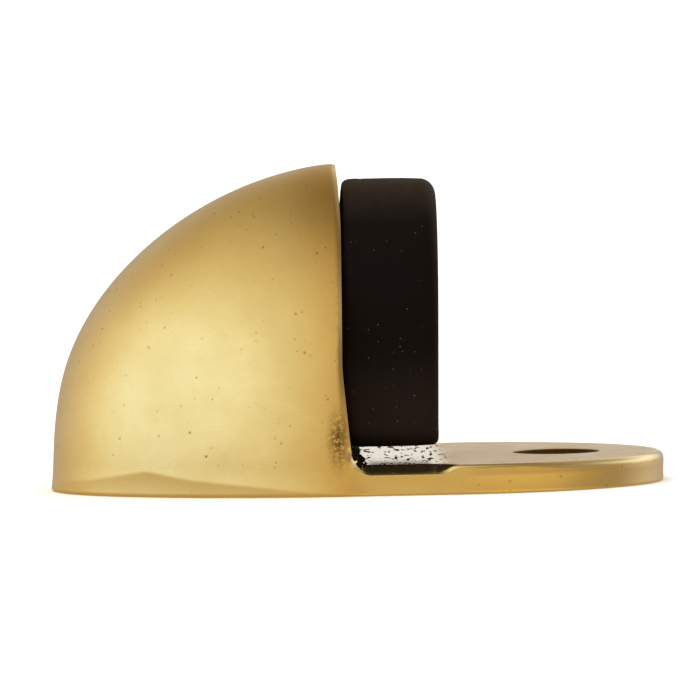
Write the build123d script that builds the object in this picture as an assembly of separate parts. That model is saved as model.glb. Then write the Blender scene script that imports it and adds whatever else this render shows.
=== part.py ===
from build123d import *

import math
import os

# Oval floor door stop: a cast brass shield and base with a bolted rubber buffer.
# Millimetres. +X runs from the shield to the tip of the base tongue, +Z is up from the floor,
# and the origin is on the floor below the middle of the length and width.

# Casting, outside
LENGTH = 76.0
WIDTH = 46.0
HEIGHT = 40.0
BASE_THICKNESS = 3.7
TIP_LENGTH = 26.0
FACE_X = -2.5
CROWN_POWER_ALONG = 1.75
CROWN_POWER_UP = 2.1
CROWN_POINTS = 10

# Casting, inside
SHIELD_WALL = 3.2
FACE_WALL = 4.0

# Casting, edges and root
FOOT_EDGE = 0.6
TONGUE_EDGE = 0.6
FACE_EDGE = 0.6
ROOT_RADIUS = 2.6
FLARE_RUN = 1.0
FLARE_HEIGHT = 9.0
FLARE_DIRECTION = (0.15, 0, -1)

# Floor screw hole, countersunk at 90 degrees
FLOOR_HOLE_X = 24.5
FLOOR_HOLE_RADIUS = 2.75
FLOOR_SINK_RADIUS = 5.5

# Rubber buffer
RUBBER_THICKNESS = 12.0
RUBBER_HALF_WIDTH = 17.0
RUBBER_BOTTOM = 5.6
RUBBER_TOP = 38.1
RUBBER_FRONT_EDGE = 1.9
RUBBER_BACK_EDGE = 0.7
RECESS_RADIUS = 6.0
RECESS_DEPTH = 5.0

# M4 buffer fixing
FIXING_Z = 21.0
SCREW_RADIUS = 2.0
SCREW_LENGTH = 18.0
SCREW_HOLE_RADIUS = 2.15
HEAD_RADIUS = 4.0
HEAD_HEIGHT = 2.4
HEAD_EDGE = 0.9
DRIVE_LENGTH = 4.4
DRIVE_WIDTH = 0.9
DRIVE_DEPTH = 1.4
WASHER_RADIUS = 5.5
WASHER_THICKNESS = 1.0
SPRING_WASHER_RADIUS = 3.6
SPRING_WASHER_THICKNESS = 0.9
SPRING_WASHER_GAP = 0.8
NUT_ACROSS_FLATS = 7.0
NUT_THICKNESS = 3.2
NUT_CHAMFER = 0.35
THREAD_CLEARANCE = 0.03

# Worked out from the sizes above
SHIELD_LENGTH = FACE_X + LENGTH / 2
TIP_CENTRE_X = LENGTH / 2 - TIP_LENGTH
HALF_WIDTH = WIDTH / 2
FACE_BACK_X = FACE_X - FACE_WALL
RUBBER_FRONT_X = FACE_X + RUBBER_THICKNESS
RECESS_FLOOR_X = RUBBER_FRONT_X - RECESS_DEPTH
HEAD_SEAT_X = RECESS_FLOOR_X + WASHER_THICKNESS
NUT_SEAT_X = FACE_BACK_X - SPRING_WASHER_THICKNESS


def half_crown(flat_x, length, half_width, height, floor):
    """Half a dome over an ellipse, flat at flat_x and running back from there by length.

    A superelliptic profile, from the ellipse's edge at floor to the top at floor + height, is
    turned half round about Z and then stretched along X to the ellipse.
    """
    points = []
    for i in range(CROWN_POINTS):
        turn = math.pi / 2 * i / (CROWN_POINTS - 1)
        out = half_width * math.sin(turn) ** (2 / CROWN_POWER_ALONG)
        up = height * math.cos(turn) ** (2 / CROWN_POWER_UP)
        points.append((0, out, floor + up))
    top = (0, 0, floor + height)
    rim = (0, half_width, floor)
    edge = Spline(points, tangents=[(0, 1, 0), (0, 0, -1)])
    outline = edge + Line(rim, (0, 0, floor)) + Line((0, 0, floor), top)
    turned = revolve(make_face(outline), Axis.Z, revolution_arc=180)
    return Pos(flat_x, 0, 0) * scale(turned, by=(length / half_width, 1, 1))


def half_oval(flat_x, length, half_width, start_angle):
    """The half-ellipse arc whose ends lie at flat_x."""
    return EllipticalCenterArc((flat_x, 0), length, half_width, start_angle, arc_size=180)


def rounded(slab):
    """Rounds the slab's floor edge, except along its cut at the face."""
    floor_edges = slab.edges().group_by(Axis.Z)[0]
    along_outline = [edge for edge in floor_edges if edge.bounding_box().size.X > FOOT_EDGE]
    return fillet(along_outline, FOOT_EDGE)


def rear_base():
    """The half-oval slab under the shield."""
    rear = half_oval(FACE_X, SHIELD_LENGTH, HALF_WIDTH, 90)
    cut = Line((FACE_X, -HALF_WIDTH), (FACE_X, HALF_WIDTH))
    return rounded(extrude(make_face(rear + cut), BASE_THICKNESS))


def tongue():
    """The tongue in front of the face, with its top edge rounded too."""
    tip = half_oval(TIP_CENTRE_X, TIP_LENGTH, HALF_WIDTH, -90)
    far_side = Line((TIP_CENTRE_X, HALF_WIDTH), (FACE_X, HALF_WIDTH))
    cut = Line((FACE_X, HALF_WIDTH), (FACE_X, -HALF_WIDTH))
    near_side = Line((FACE_X, -HALF_WIDTH), (TIP_CENTRE_X, -HALF_WIDTH))
    slab = rounded(extrude(make_face(tip + far_side + cut + near_side), BASE_THICKNESS))
    top_edges = slab.edges().group_by(Axis.Z)[-1]
    along_outline = [edge for edge in top_edges if edge.bounding_box().size.X > TONGUE_EDGE]
    return fillet(along_outline, TONGUE_EDGE)


def shield():
    """The solid quarter dome, flat at the face, with the face's arched edge rounded."""
    dome = half_crown(FACE_X, SHIELD_LENGTH, HALF_WIDTH, HEIGHT - BASE_THICKNESS, BASE_THICKNESS)
    face = dome.faces().sort_by(Axis.X)[-1]
    arched = face.edges().filter_by(lambda edge: edge.bounding_box().size.Z > FACE_EDGE)
    return fillet(arched, FACE_EDGE)


def root_bar():
    """The flare and the concave root between face and tongue, as a bar across the whole width."""
    face_start = (FACE_X, 0, BASE_THICKNESS)
    flare_top = (FACE_X, 0, BASE_THICKNESS + ROOT_RADIUS + FLARE_HEIGHT)
    flare_foot = (FACE_X + FLARE_RUN, 0, BASE_THICKNESS + ROOT_RADIUS)
    root_end = (FACE_X + FLARE_RUN + ROOT_RADIUS, 0, BASE_THICKNESS)
    flare = Spline([flare_top, flare_foot], tangents=[(0, 0, -1), FLARE_DIRECTION])
    root = Spline([flare_foot, root_end], tangents=[FLARE_DIRECTION, (1, 0, 0)])
    outline = flare + root + Line(root_end, face_start) + Line(face_start, flare_top)
    return extrude(make_face(outline), WIDTH, both=True)


def hollow():
    """The space under the shield, a smaller half dome that stops at the face wall."""
    length = FACE_BACK_X + LENGTH / 2 - SHIELD_WALL
    half_width = HALF_WIDTH - SHIELD_WALL
    height = HEIGHT - BASE_THICKNESS - SHIELD_WALL
    dome = half_crown(FACE_BACK_X, length, half_width, height, BASE_THICKNESS)
    cut = Line((FACE_BACK_X, -half_width), (FACE_BACK_X, half_width))
    mouth = make_face(half_oval(FACE_BACK_X, length, half_width, 90) + cut)
    return dome + extrude(mouth, BASE_THICKNESS)


def rod(radius, start_x, length):
    """A round bar along +X from start_x, on the axis of the buffer's fixing."""
    return extrude(Plane(origin=(start_x, 0, FIXING_Z), z_dir=(1, 0, 0)) * Circle(radius), length)


def floor_screw_hole():
    """The countersunk hole in the tongue, as the shape to take away."""
    sink_depth = FLOOR_SINK_RADIUS - FLOOR_HOLE_RADIUS
    bore = Pos(FLOOR_HOLE_X, 0, BASE_THICKNESS / 2) * Cylinder(FLOOR_HOLE_RADIUS, 2 * BASE_THICKNESS)
    sink_z = BASE_THICKNESS - sink_depth / 2
    sink = Pos(FLOOR_HOLE_X, 0, sink_z) * Cone(FLOOR_HOLE_RADIUS, FLOOR_SINK_RADIUS, sink_depth)
    return bore + sink


def body_casting():
    """The one-piece casting: shield, face wall, base ring and tongue."""
    solid_shield = shield()
    arch = solid_shield.faces().sort_by(Axis.X)[-1]
    root = root_bar() & extrude(arch, FLARE_RUN + ROOT_RADIUS, dir=(1, 0, 0))
    casting = rear_base() + tongue() + solid_shield + root
    casting -= hollow()
    casting -= floor_screw_hole()
    return casting - rod(SCREW_HOLE_RADIUS, FACE_BACK_X - 1, FACE_WALL + 2)


def rubber_buffer():
    """The arched rubber block, recessed in front for the screw head and relieved over the root."""
    arch_z = RUBBER_TOP - RUBBER_HALF_WIDTH
    near_foot = (-RUBBER_HALF_WIDTH, RUBBER_BOTTOM)
    far_foot = (RUBBER_HALF_WIDTH, RUBBER_BOTTOM)
    near_spring = (-RUBBER_HALF_WIDTH, arch_z)
    far_spring = (RUBBER_HALF_WIDTH, arch_z)
    arch = ThreePointArc(far_spring, (0, RUBBER_TOP), near_spring)
    outline = Line(near_foot, far_foot) + Line(far_foot, far_spring) + arch + Line(near_spring, near_foot)
    section = Plane(origin=(FACE_X, 0, 0), x_dir=(0, 1, 0), z_dir=(1, 0, 0)) * make_face(outline)
    block = extrude(section, RUBBER_THICKNESS)
    front = block.faces().sort_by(Axis.X)[-1].edges()
    block = fillet(front, RUBBER_FRONT_EDGE)
    back = block.faces().sort_by(Axis.X)[0].edges()
    block = chamfer(back, RUBBER_BACK_EDGE)
    block -= rod(RECESS_RADIUS, RECESS_FLOOR_X, RECESS_DEPTH)
    block -= rod(SCREW_HOLE_RADIUS, FACE_X, RUBBER_THICKNESS)
    return block - root_bar()


def buffer_screw():
    """The M4 pan-head machine screw with a cross drive, driven from the front."""
    head = rod(HEAD_RADIUS, HEAD_SEAT_X, HEAD_HEIGHT)
    head = fillet(head.edges().sort_by(Axis.X)[-1], HEAD_EDGE)
    top_x = HEAD_SEAT_X + HEAD_HEIGHT
    for turn in (0, 90):
        slot = Box(2 * DRIVE_DEPTH, DRIVE_LENGTH, DRIVE_WIDTH)
        head -= Pos(top_x, 0, FIXING_Z) * Rot(turn, 0, 0) * slot
    return head + rod(SCREW_RADIUS, HEAD_SEAT_X - SCREW_LENGTH, SCREW_LENGTH)


def flat_washer():
    """The plain washer between the screw head and the rubber."""
    disc = rod(WASHER_RADIUS, RECESS_FLOOR_X, WASHER_THICKNESS)
    return disc - rod(SCREW_HOLE_RADIUS, RECESS_FLOOR_X - 1, WASHER_THICKNESS + 2)


def spring_washer():
    """The split washer between the face wall and the nut."""
    disc = rod(SPRING_WASHER_RADIUS, NUT_SEAT_X, SPRING_WASHER_THICKNESS)
    disc -= rod(SCREW_HOLE_RADIUS, NUT_SEAT_X - 1, SPRING_WASHER_THICKNESS + 2)
    gap = Box(2 * SPRING_WASHER_THICKNESS, SPRING_WASHER_GAP, SPRING_WASHER_RADIUS * 1.5)
    gap_z = FIXING_Z + SPRING_WASHER_RADIUS * 0.75
    return disc - Pos(NUT_SEAT_X + SPRING_WASHER_THICKNESS / 2, 0, gap_z) * gap


def hex_nut():
    """The M4 nut inside the shield, its corners chamfered on both faces."""
    flats = Plane(origin=(NUT_SEAT_X - NUT_THICKNESS, 0, FIXING_Z), z_dir=(1, 0, 0))
    corner_radius = NUT_ACROSS_FLATS / math.sqrt(3)
    prism = extrude(flats * RegularPolygon(corner_radius, 6), NUT_THICKNESS)
    round_bar = rod(corner_radius, NUT_SEAT_X - NUT_THICKNESS, NUT_THICKNESS)
    prism &= chamfer(round_bar.edges(), NUT_CHAMFER)
    thread = rod(SCREW_RADIUS + THREAD_CLEARANCE, NUT_SEAT_X - NUT_THICKNESS - 1, NUT_THICKNESS + 2)
    return prism - thread


NODES = {
    "body_casting": body_casting,
    "rubber_buffer": rubber_buffer,
    "buffer_screw": buffer_screw,
    "flat_washer": flat_washer,
    "spring_washer": spring_washer,
    "hex_nut": hex_nut,
}

os.makedirs("parts", exist_ok=True)
for name, make in NODES.items():
    export_step(make(), f"parts/{name}.step")
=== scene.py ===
"""Oval floor door stop: the finished looks of its brass casting, rubber buffer and fixing.

Sizes are in millimetres in the CAD part's own frame until a mesh is made, which is in metres.
"""

import logging
import math
from dataclasses import dataclass, field
from enum import Enum

import bmesh
import bpy
import numpy as np
from mathutils import Matrix, Vector


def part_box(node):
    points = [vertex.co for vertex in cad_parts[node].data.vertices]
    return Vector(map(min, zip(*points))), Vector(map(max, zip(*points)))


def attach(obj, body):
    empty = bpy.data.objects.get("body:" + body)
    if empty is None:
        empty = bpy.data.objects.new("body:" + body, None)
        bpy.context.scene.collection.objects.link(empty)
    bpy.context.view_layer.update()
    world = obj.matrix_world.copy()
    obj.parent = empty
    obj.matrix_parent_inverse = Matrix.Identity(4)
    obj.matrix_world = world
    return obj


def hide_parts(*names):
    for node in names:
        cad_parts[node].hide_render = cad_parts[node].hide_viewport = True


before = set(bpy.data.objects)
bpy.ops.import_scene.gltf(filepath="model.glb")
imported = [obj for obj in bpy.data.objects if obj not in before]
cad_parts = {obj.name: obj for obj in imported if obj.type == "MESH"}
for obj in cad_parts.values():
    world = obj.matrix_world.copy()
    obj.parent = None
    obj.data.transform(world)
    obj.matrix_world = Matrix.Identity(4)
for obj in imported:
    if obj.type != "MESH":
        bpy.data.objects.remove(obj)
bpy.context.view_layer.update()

LOG = logging.getLogger("door_stop")
MM = 0.001
FACE_LEAN = math.tan(math.radians(0.95))
LEAN_FROM = 5.0
FIXING_Z = 21.0
BODY = "root"
NODE_COLUMN = 240
NODE_ROW = 450

Colour = tuple[float, float, float, float]
# A gate says where a smooth change starts or ends, and the length that it takes.
Gate = tuple[float, float]


class Node(Enum):
    """The CAD nodes, by what they are."""

    CASTING = "body_casting"
    BUFFER = "rubber_buffer"
    SCREW = "buffer_screw"
    FLAT_WASHER = "flat_washer"
    SPRING_WASHER = "spring_washer"
    NUT = "hex_nut"


class Slot(Enum):
    """The record's material slots."""

    BRASS = "cast_brass"
    RUBBER = "black_rubber"
    PLATED = "plated_steel"
    SPRING = "spring_steel"


class Side(Enum):
    """Which side of the length's plane a surface is on, as the sign of its Y."""

    NEAR = -1.0
    FAR = 1.0


class Mark(Enum):
    """Point attributes that tell a material where on the piece it is."""

    # The rim's mark is real wear and also a painted highlight.
    RIM = "rolled_rim"
    # The as-cast mark also covers the countersink's cone, as painted shade.
    CAST = "as_cast"
    POLISHED = "polished_flat"
    # The root's mark is painted shade: the root under the rubber is painted dark.
    DIRT = "packed_dirt"


# ---- Mesh making ----


def eased(value: np.ndarray) -> np.ndarray:
    """Returns the smooth step of a share from 0 to 1: three of its squares less two of its cubes."""
    share = np.clip(value, 0.0, 1.0)
    return share * share * (3.0 - 2.0 * share)


def past(value: np.ndarray, gate: Gate) -> np.ndarray:
    """Returns 0 up to the gate's first number, then a smooth rise to 1 over its second."""
    return eased((value - gate[0]) / gate[1])


def short_of(value: np.ndarray, gate: Gate) -> np.ndarray:
    """Returns a smooth fall to 0 at the gate's first number, over its second, from 1 before."""
    return eased((gate[0] - value) / gate[1])


def between(start: np.ndarray, end: np.ndarray, shares: np.ndarray) -> np.ndarray:
    """Rows of points on straight lines from one curve to another.

    Args:
        start: The first curve, one point a row.
        end: The second curve, with as many points.
        shares: How far along each new row lies, from 0 to 1.

    Returns:
        An array of rows by points by three.
    """
    steps = np.asarray(shares, float)[:, None, None]
    return start[None] * (1.0 - steps) + end[None] * steps


def mirrored(grid: np.ndarray) -> np.ndarray:
    """Returns the same points on the other side of the length's plane: Y changes sign."""
    return grid * np.array([1.0, -1.0, 1.0])


@dataclass
class Skin:
    """Patches of one piece, gathered until they are welded into one closed mesh."""

    points: list[np.ndarray] = field(default_factory=list)
    quads: list[np.ndarray] = field(default_factory=list)
    marks: dict[Mark, list[np.ndarray]] = field(default_factory=dict)
    count: int = 0

    def add(self, grid: np.ndarray, closed: bool = False, **marks: float) -> None:
        """Adds one patch: a grid of points, each four neighbours a face.

        Args:
            grid: Rows by columns by three, in millimetres.
            closed: Whether the last column joins the first.
            marks: The value of each mark on this patch, by the mark's name in lower case.
        """
        rows, columns = grid.shape[:2]
        index = np.arange(rows * columns).reshape(rows, columns)
        if closed:
            index = np.concatenate([index, index[:, :1]], axis=1)
        quads = np.stack([index[:-1, :-1], index[:-1, 1:], index[1:, 1:], index[1:, :-1]], axis=-1)
        self.points.append(grid.reshape(-1, 3))
        self.quads.append(quads.reshape(-1, 4) + self.count)
        for mark in Mark:
            value = np.broadcast_to(marks.get(mark.name.lower(), 0.0), (rows, columns))
            self.marks.setdefault(mark, []).append(np.array(value, float).ravel())
        self.count += rows * columns

    def weld(self, name: str, sharp_degrees: float = 38.0) -> bpy.types.Object:
        """Joins the patches where their edges meet and makes the piece.

        Args:
            name: The piece's name.
            sharp_degrees: Edges that turn by more than this stay crisp.

        Returns:
            The new object, at the origin and in the scene.
        """
        mesh = bpy.data.meshes.new(name)
        points = np.concatenate(self.points) * MM
        mesh.from_pydata(points, [], np.concatenate(self.quads).tolist())
        for mark, parts in self.marks.items():
            values = np.concatenate(parts).astype(np.float32)
            if values.any():
                layer = mesh.attributes.new(mark.value, "FLOAT", "POINT")
                layer.data.foreach_set("value", values)
        work = bmesh.new()
        work.from_mesh(mesh)
        bmesh.ops.remove_doubles(work, verts=work.verts, dist=2e-7)
        bmesh.ops.dissolve_degenerate(work, edges=work.edges, dist=1e-7)
        bmesh.ops.recalc_face_normals(work, faces=work.faces)
        open_edges = sum(not edge.is_manifold for edge in work.edges)
        work.to_mesh(mesh)
        work.free()
        mesh.polygons.foreach_set("use_smooth", np.ones(len(mesh.polygons), bool))
        mesh.set_sharp_from_angle(angle=math.radians(sharp_degrees))
        LOG.info("%s: %d faces, %d open edges", name, len(mesh.polygons), open_edges)
        made = bpy.data.objects.new(name, mesh)
        bpy.context.scene.collection.objects.link(made)
        return made


def box_mm(node: Node) -> tuple[np.ndarray, np.ndarray]:
    """Returns the lowest and highest corner of a CAD node, in millimetres."""
    low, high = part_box(node.value)
    return np.array(low) / MM, np.array(high) / MM


def install(piece: bpy.types.Object, node: Node, material: bpy.types.Material) -> None:
    """Dresses a new piece, seats it on the body and lets it stand for its CAD node.

    Args:
        piece: The new piece.
        node: The CAD node that it stands for.
        material: Its material.
    """
    piece.data.materials.append(material)
    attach(piece, BODY)
    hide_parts(node.value)


# ---- The casting ----


@dataclass(frozen=True)
class RootCurve:
    """The face, its flare, the root and the tongue's top, seen from the side.

    The curve is integrated from its own slope: it leaves the upright face by a gentle lean, holds
    that lean down the flare, and then turns at one radius until it lies along the tongue.
    """

    face_x: float
    tongue_z: float
    lean_degrees: float = 6.0
    lean_in: float = 3.0
    flare_run: float = 1.0
    radius: float = 2.6
    steps: int = 600

    def trace(self) -> tuple[np.ndarray, np.ndarray, np.ndarray]:
        """Integrates the slope from the face to the tongue.

        Returns:
            X, Z and the tilt in radians, which is 0 on the face and a quarter turn on the tongue.
        """
        lean = math.radians(self.lean_degrees)
        hold = (self.flare_run - self.lean_in * lean / 2) / math.sin(lean)
        turn = self.radius * (math.pi / 2 - lean)
        knots = np.cumsum([0.0, self.lean_in, hold, turn])
        along = np.linspace(0.0, knots[-1], self.steps)
        tilt = np.interp(along, knots, [0.0, lean, lean, math.pi / 2])
        middle = (tilt[1:] + tilt[:-1]) / 2
        stride = np.diff(along)
        x = self.face_x + np.concatenate([[0.0], np.cumsum(np.sin(middle) * stride)])
        drop = np.concatenate([[0.0], np.cumsum(np.cos(middle) * stride)])
        return x, self.tongue_z + drop[-1] - drop, tilt

    def push(self, z: np.ndarray) -> np.ndarray:
        """Returns how far the curve stands in front of the face at each height."""
        x, height, _ = self.trace()
        return np.interp(z, height[::-1], x[::-1] - self.face_x)


@dataclass
class Casting:
    """The one-piece brass casting: shield, face wall, base rim and tongue.

    The shield's height above a point is a superelliptic crown: T + (H - T)(1 - r^p)^(1/q), where
    r is how far out the point lies on the base ellipse, T the base thickness and H the height.
    """

    face_x: float = -2.5
    base_z: float = 3.7
    tip_length: float = 26.0
    crown_power_along: float = 1.75
    crown_power_up: float = 2.10
    foot_fullness: float = 0.24
    wall: float = 3.2
    face_wall: float = 4.0
    draft: float = 0.16
    foot_edge: float = 0.38
    arch_bevel: tuple[float, float] = (0.50, 0.12)
    shelter_bevel: tuple[float, float] = (1.15, 2.0)
    tongue_edge: float = 0.45
    tip_edge: float = 0.85
    bevel_flatness: float = 0.85
    bevel_ends: tuple[float, float] = (9.3, 11.8)
    tip_edge_grows: tuple[float, float] = (19.0, 27.0)
    worn_back: float = 0.45
    worn_height: float = 9.0
    worn_reach: float = 7.0
    rear_draft: float = 0.36
    rear_draft_height: float = 11.0
    hole_x: float = 24.5
    hole_radius: float = 2.75
    sink_radius: float = 5.3
    sink_lip: float = 0.3
    fixing_z: float = FIXING_Z
    fixing_radius: float = 2.15
    facet_tilt_degrees: float = 7.0
    filed_tilt_degrees: float = 5.0
    filed_line: float = 2.3
    filed_fade: float = 5.0
    facet_turns: tuple[float, ...] = (0.0, 18.0, 30.0, 47.5, 58.0, 70.0, 90.0)
    facet_heights: tuple[float, ...] = (0.4, 1.6, 2.0, 3.2, 2.2, 1.5, 0.15)
    facet_softness: float = 0.05
    skin_gate: Gate = (0.90, 0.05)
    face_fade: float = 0.03
    lean_behind: Gate = (4.0, 28.0)
    lean_ahead: Gate = (2.0, 12.0)
    rear_spread: Gate = (12.0, 22.0)
    rear_draft_power: float = 1.5
    shelter_back: Gate = (-0.6, 0.8)
    shelter_front: Gate = (11.4, 3.2)
    shelter_side: Gate = (22.6, 1.2)
    rub_loss: float = 0.35
    rub_rise: Gate = (1.0, 4.0)
    # Gates of the painted shade in the root under the rubber.
    root_shade_back: Gate = (-1.9, 0.5)
    root_shade_front: Gate = (1.3, 1.6)
    root_shade_top: Gate = (7.4, 1.2)
    root_shade_side: Gate = (22.7, 0.5)
    sink_half_degrees: float = 45.0
    hole_land: float = 0.4
    face_overlap: float = 0.2
    sheltered_run: float = 16.0
    top_tolerance: float = 0.01

    turn_steps: int = 180
    crown_steps: int = 108
    skirt_steps: int = 18
    band_steps: int = 9
    rim_steps: int = 7
    straight_steps: int = 24
    tip_steps: int = 72
    rim_ring_steps: int = 4
    mouth_steps: int = 40
    inner_wall_steps: int = 6
    foot_steps: int = 5
    lip_steps: int = 4
    cone_steps: int = 8
    face_rings: int = 8
    tongue_rings: int = 14

    def __post_init__(self) -> None:
        """Reads the overall size from the frame and works out the rest."""
        low, high = box_mm(Node.CASTING)
        self.rear_x, self.tip_x = low[0], high[0]
        self.half_width = high[1]
        self.top_z = high[2]
        self.root = RootCurve(self.face_x, self.base_z)
        self.back_x = self.face_x - self.face_wall
        self.tip_centre = self.tip_x - self.tip_length
        self.length = self.face_x - self.rear_x

    # Outside shape ---------------------------------------------------------------------

    def semi_axes(self, inset: np.ndarray) -> tuple[np.ndarray, np.ndarray]:
        """Returns the shield ellipse's half length and half width, less an inset."""
        return self.length - inset, self.half_width - inset

    def crown_z(self, x: np.ndarray, y: np.ndarray) -> np.ndarray:
        """The crown's height over each point, by the class's formula.

        Args:
            x: Each point's place along the length.
            y: Each point's place across it.

        Returns:
            The heights above the floor.
        """
        long, wide = self.semi_axes(self.draft)
        out = np.hypot(np.maximum(self.face_x - x, 0.0) / long, y / wide)
        return self.base_z + (self.top_z - self.base_z) * self.fall(out)

    def fall(self, out: np.ndarray) -> np.ndarray:
        """Returns the crown's height share by how far out it is, a little fuller near the foot."""
        power = self.crown_power_up + self.foot_fullness * out**6
        return np.clip(1.0 - out**self.crown_power_along, 0.0, None) ** (1 / power)

    def crown_shares(self, steps: int) -> np.ndarray:
        """How far out each crown row lies, set closer together near the foot.

        Args:
            steps: How many strips the rows bound.

        Returns:
            The shares, from 1 at the foot to 0 at the top.
        """
        share = np.linspace(0.0, 1.0, steps + 1)
        turn = (0.35 * share + 0.65 * share**2) * math.pi / 2
        return np.maximum(np.cos(turn), 0.0) ** (2 / self.crown_power_along)

    def skirt(self) -> tuple[np.ndarray, np.ndarray]:
        """The foot's rounded edge and the slightly drafted skirt above it.

        Returns:
            The inset and the height of each row, from the floor up to the base's thickness.
        """
        turn = np.linspace(0.0, math.pi / 2, self.foot_steps + 1)
        foot_inset = self.foot_edge * (1 - np.sin(turn))
        foot_z = self.foot_edge * (1 - np.cos(turn))
        wall_z = np.linspace(self.foot_edge, self.base_z, self.skirt_steps + 1)[1:]
        z = np.concatenate([foot_z, wall_z])
        inset = np.concatenate([foot_inset, np.zeros(len(wall_z))])
        inset += self.draft * (1 - (1 - z / self.base_z) ** 2)
        return inset, z

    def reach(self, turn: np.ndarray, inset: np.ndarray) -> np.ndarray:
        """Distance from the back wall's middle to the shield's outline in each direction.

        Solves the quadratic for a ray that starts off the ellipse's centre.

        Args:
            turn: The directions, in radians.
            inset: How far the outline is drawn in.

        Returns:
            The distances.
        """
        long, wide = self.semi_axes(inset)
        offset = self.face_wall
        a = (np.cos(turn) / long) ** 2 + (np.sin(turn) / wide) ** 2
        b = -2 * offset * np.cos(turn) / long**2
        c = (offset / long) ** 2 - 1
        return (-b + np.sqrt(b * b - 4 * a * c)) / (2 * a)

    def facet(self, points: np.ndarray) -> np.ndarray:
        """Leans the lowest part of the wall inwards, as a linishing belt and a file leave it.

        Below a line that rises and falls round the foot, the wall falls back in proportion to its
        depth under that line. The line is given by its height at a few directions. The tongue's
        edge falls back in the same way under one level line.

        Args:
            points: The points of a patch.

        Returns:
            The points, moved.
        """
        x, y, z = points[..., 0], points[..., 1], points[..., 2]
        along = (self.face_x - x) / self.length
        across = np.abs(y) / self.half_width
        turn = np.degrees(np.arctan2(across, np.maximum(along, 0.0)))
        depth = np.interp(turn, self.facet_turns, self.facet_heights) - z
        soft = self.facet_softness
        depth = (depth + np.sqrt(depth * depth + soft * soft)) / 2
        skin = past(np.hypot(along, across), self.skin_gate) * eased(along / self.face_fade)
        outward = np.stack([np.minimum(x - self.back_x, 0.0), y, 0 * z], axis=-1)
        outward /= np.maximum(np.linalg.norm(outward, axis=-1, keepdims=True), 1e-9)
        push = depth * skin * math.tan(math.radians(self.facet_tilt_degrees))
        tip = np.maximum(x - self.tip_centre, 0.0) / self.tip_length**2
        filed_out = np.stack([tip, y / self.half_width**2, 0 * z], axis=-1)
        filed_out /= np.maximum(np.linalg.norm(filed_out, axis=-1, keepdims=True), 1e-9)
        filed = np.maximum(self.filed_line - z, 0.0) * eased((x - self.face_x) / self.filed_fade)
        filed *= math.tan(math.radians(self.filed_tilt_degrees))
        return points - outward * push[..., None] - filed_out * filed[..., None]

    def worn(self, points: np.ndarray) -> np.ndarray:
        """Leans the face as the casting's draft does, and wears back its top.

        The lean moves points along the length in proportion to their height over the root, and
        fades away towards both ends. Near the crown's top the points by the face also move back
        with the square of their height, and at the rear the foot spreads out under the crown.

        Args:
            points: The points of a patch.

        Returns:
            The points, moved along the length.
        """
        x, z = points[..., 0], points[..., 2]
        height = np.clip((z - self.top_z) / self.worn_height + 1.0, 0.0, 1.0)
        near = eased((x - self.face_x) / self.worn_reach + 1.0)
        behind = past(x - self.rear_x, self.lean_behind)
        ahead = 1.0 - past(x, self.lean_ahead)
        lean = FACE_LEAN * np.maximum(z - LEAN_FROM, 0.0) * behind * ahead
        rear = eased((self.face_x - self.rear_spread[0] - x) / self.rear_spread[1])
        low = (1 - np.clip(z / self.rear_draft_height, 0, 1)) ** self.rear_draft_power
        draft = self.rear_draft * low * rear
        shift = lean - self.worn_back * height**2 * near - draft
        return points + shift[..., None] * np.array([1.0, 0.0, 0.0])

    def shield_back(self) -> np.ndarray:
        """The shield behind the face wall.

        Returns:
            Rows up the skirt and the crown, by columns round the back.
        """
        turn = np.linspace(-math.pi / 2, -3 * math.pi / 2, self.turn_steps + 1)
        inset, z = self.skirt()
        reach = self.reach(turn[None], inset[:, None])
        low = self.polar(turn, reach, np.broadcast_to(z[:, None], reach.shape))
        shares = self.crown_shares(self.crown_steps)[1:]
        reach = shares[:, None] * self.reach(turn[None], self.draft)
        high = self.polar(turn, reach, None)
        return np.concatenate([low, high])

    def polar(self, turn: np.ndarray, reach: np.ndarray, z: np.ndarray | None) -> np.ndarray:
        """Points at each direction and distance from the back wall's middle.

        Args:
            turn: The direction of each column.
            reach: The distance of each point.
            z: The height of each point, or None for the crown's.

        Returns:
            The points.
        """
        x = self.back_x + reach * np.cos(turn)
        y = reach * np.sin(turn)
        return np.stack([x, y, self.crown_z(x, y) if z is None else z], axis=-1)

    def side_point(self, x: np.ndarray, share: np.ndarray) -> np.ndarray:
        """Points of the crown on upright slices across the length, at positive Y.

        Args:
            x: Each slice's place along the length.
            share: How far out each point lies on its slice, from 0 to 1.

        Returns:
            The points.
        """
        long, wide = self.semi_axes(self.draft)
        behind = np.maximum(self.face_x - x, 0.0) / long
        y = wide * np.sqrt(1 - behind**2) * share
        return np.stack([x + 0 * y, y, self.crown_z(x + 0 * y, y)], axis=-1)

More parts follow.
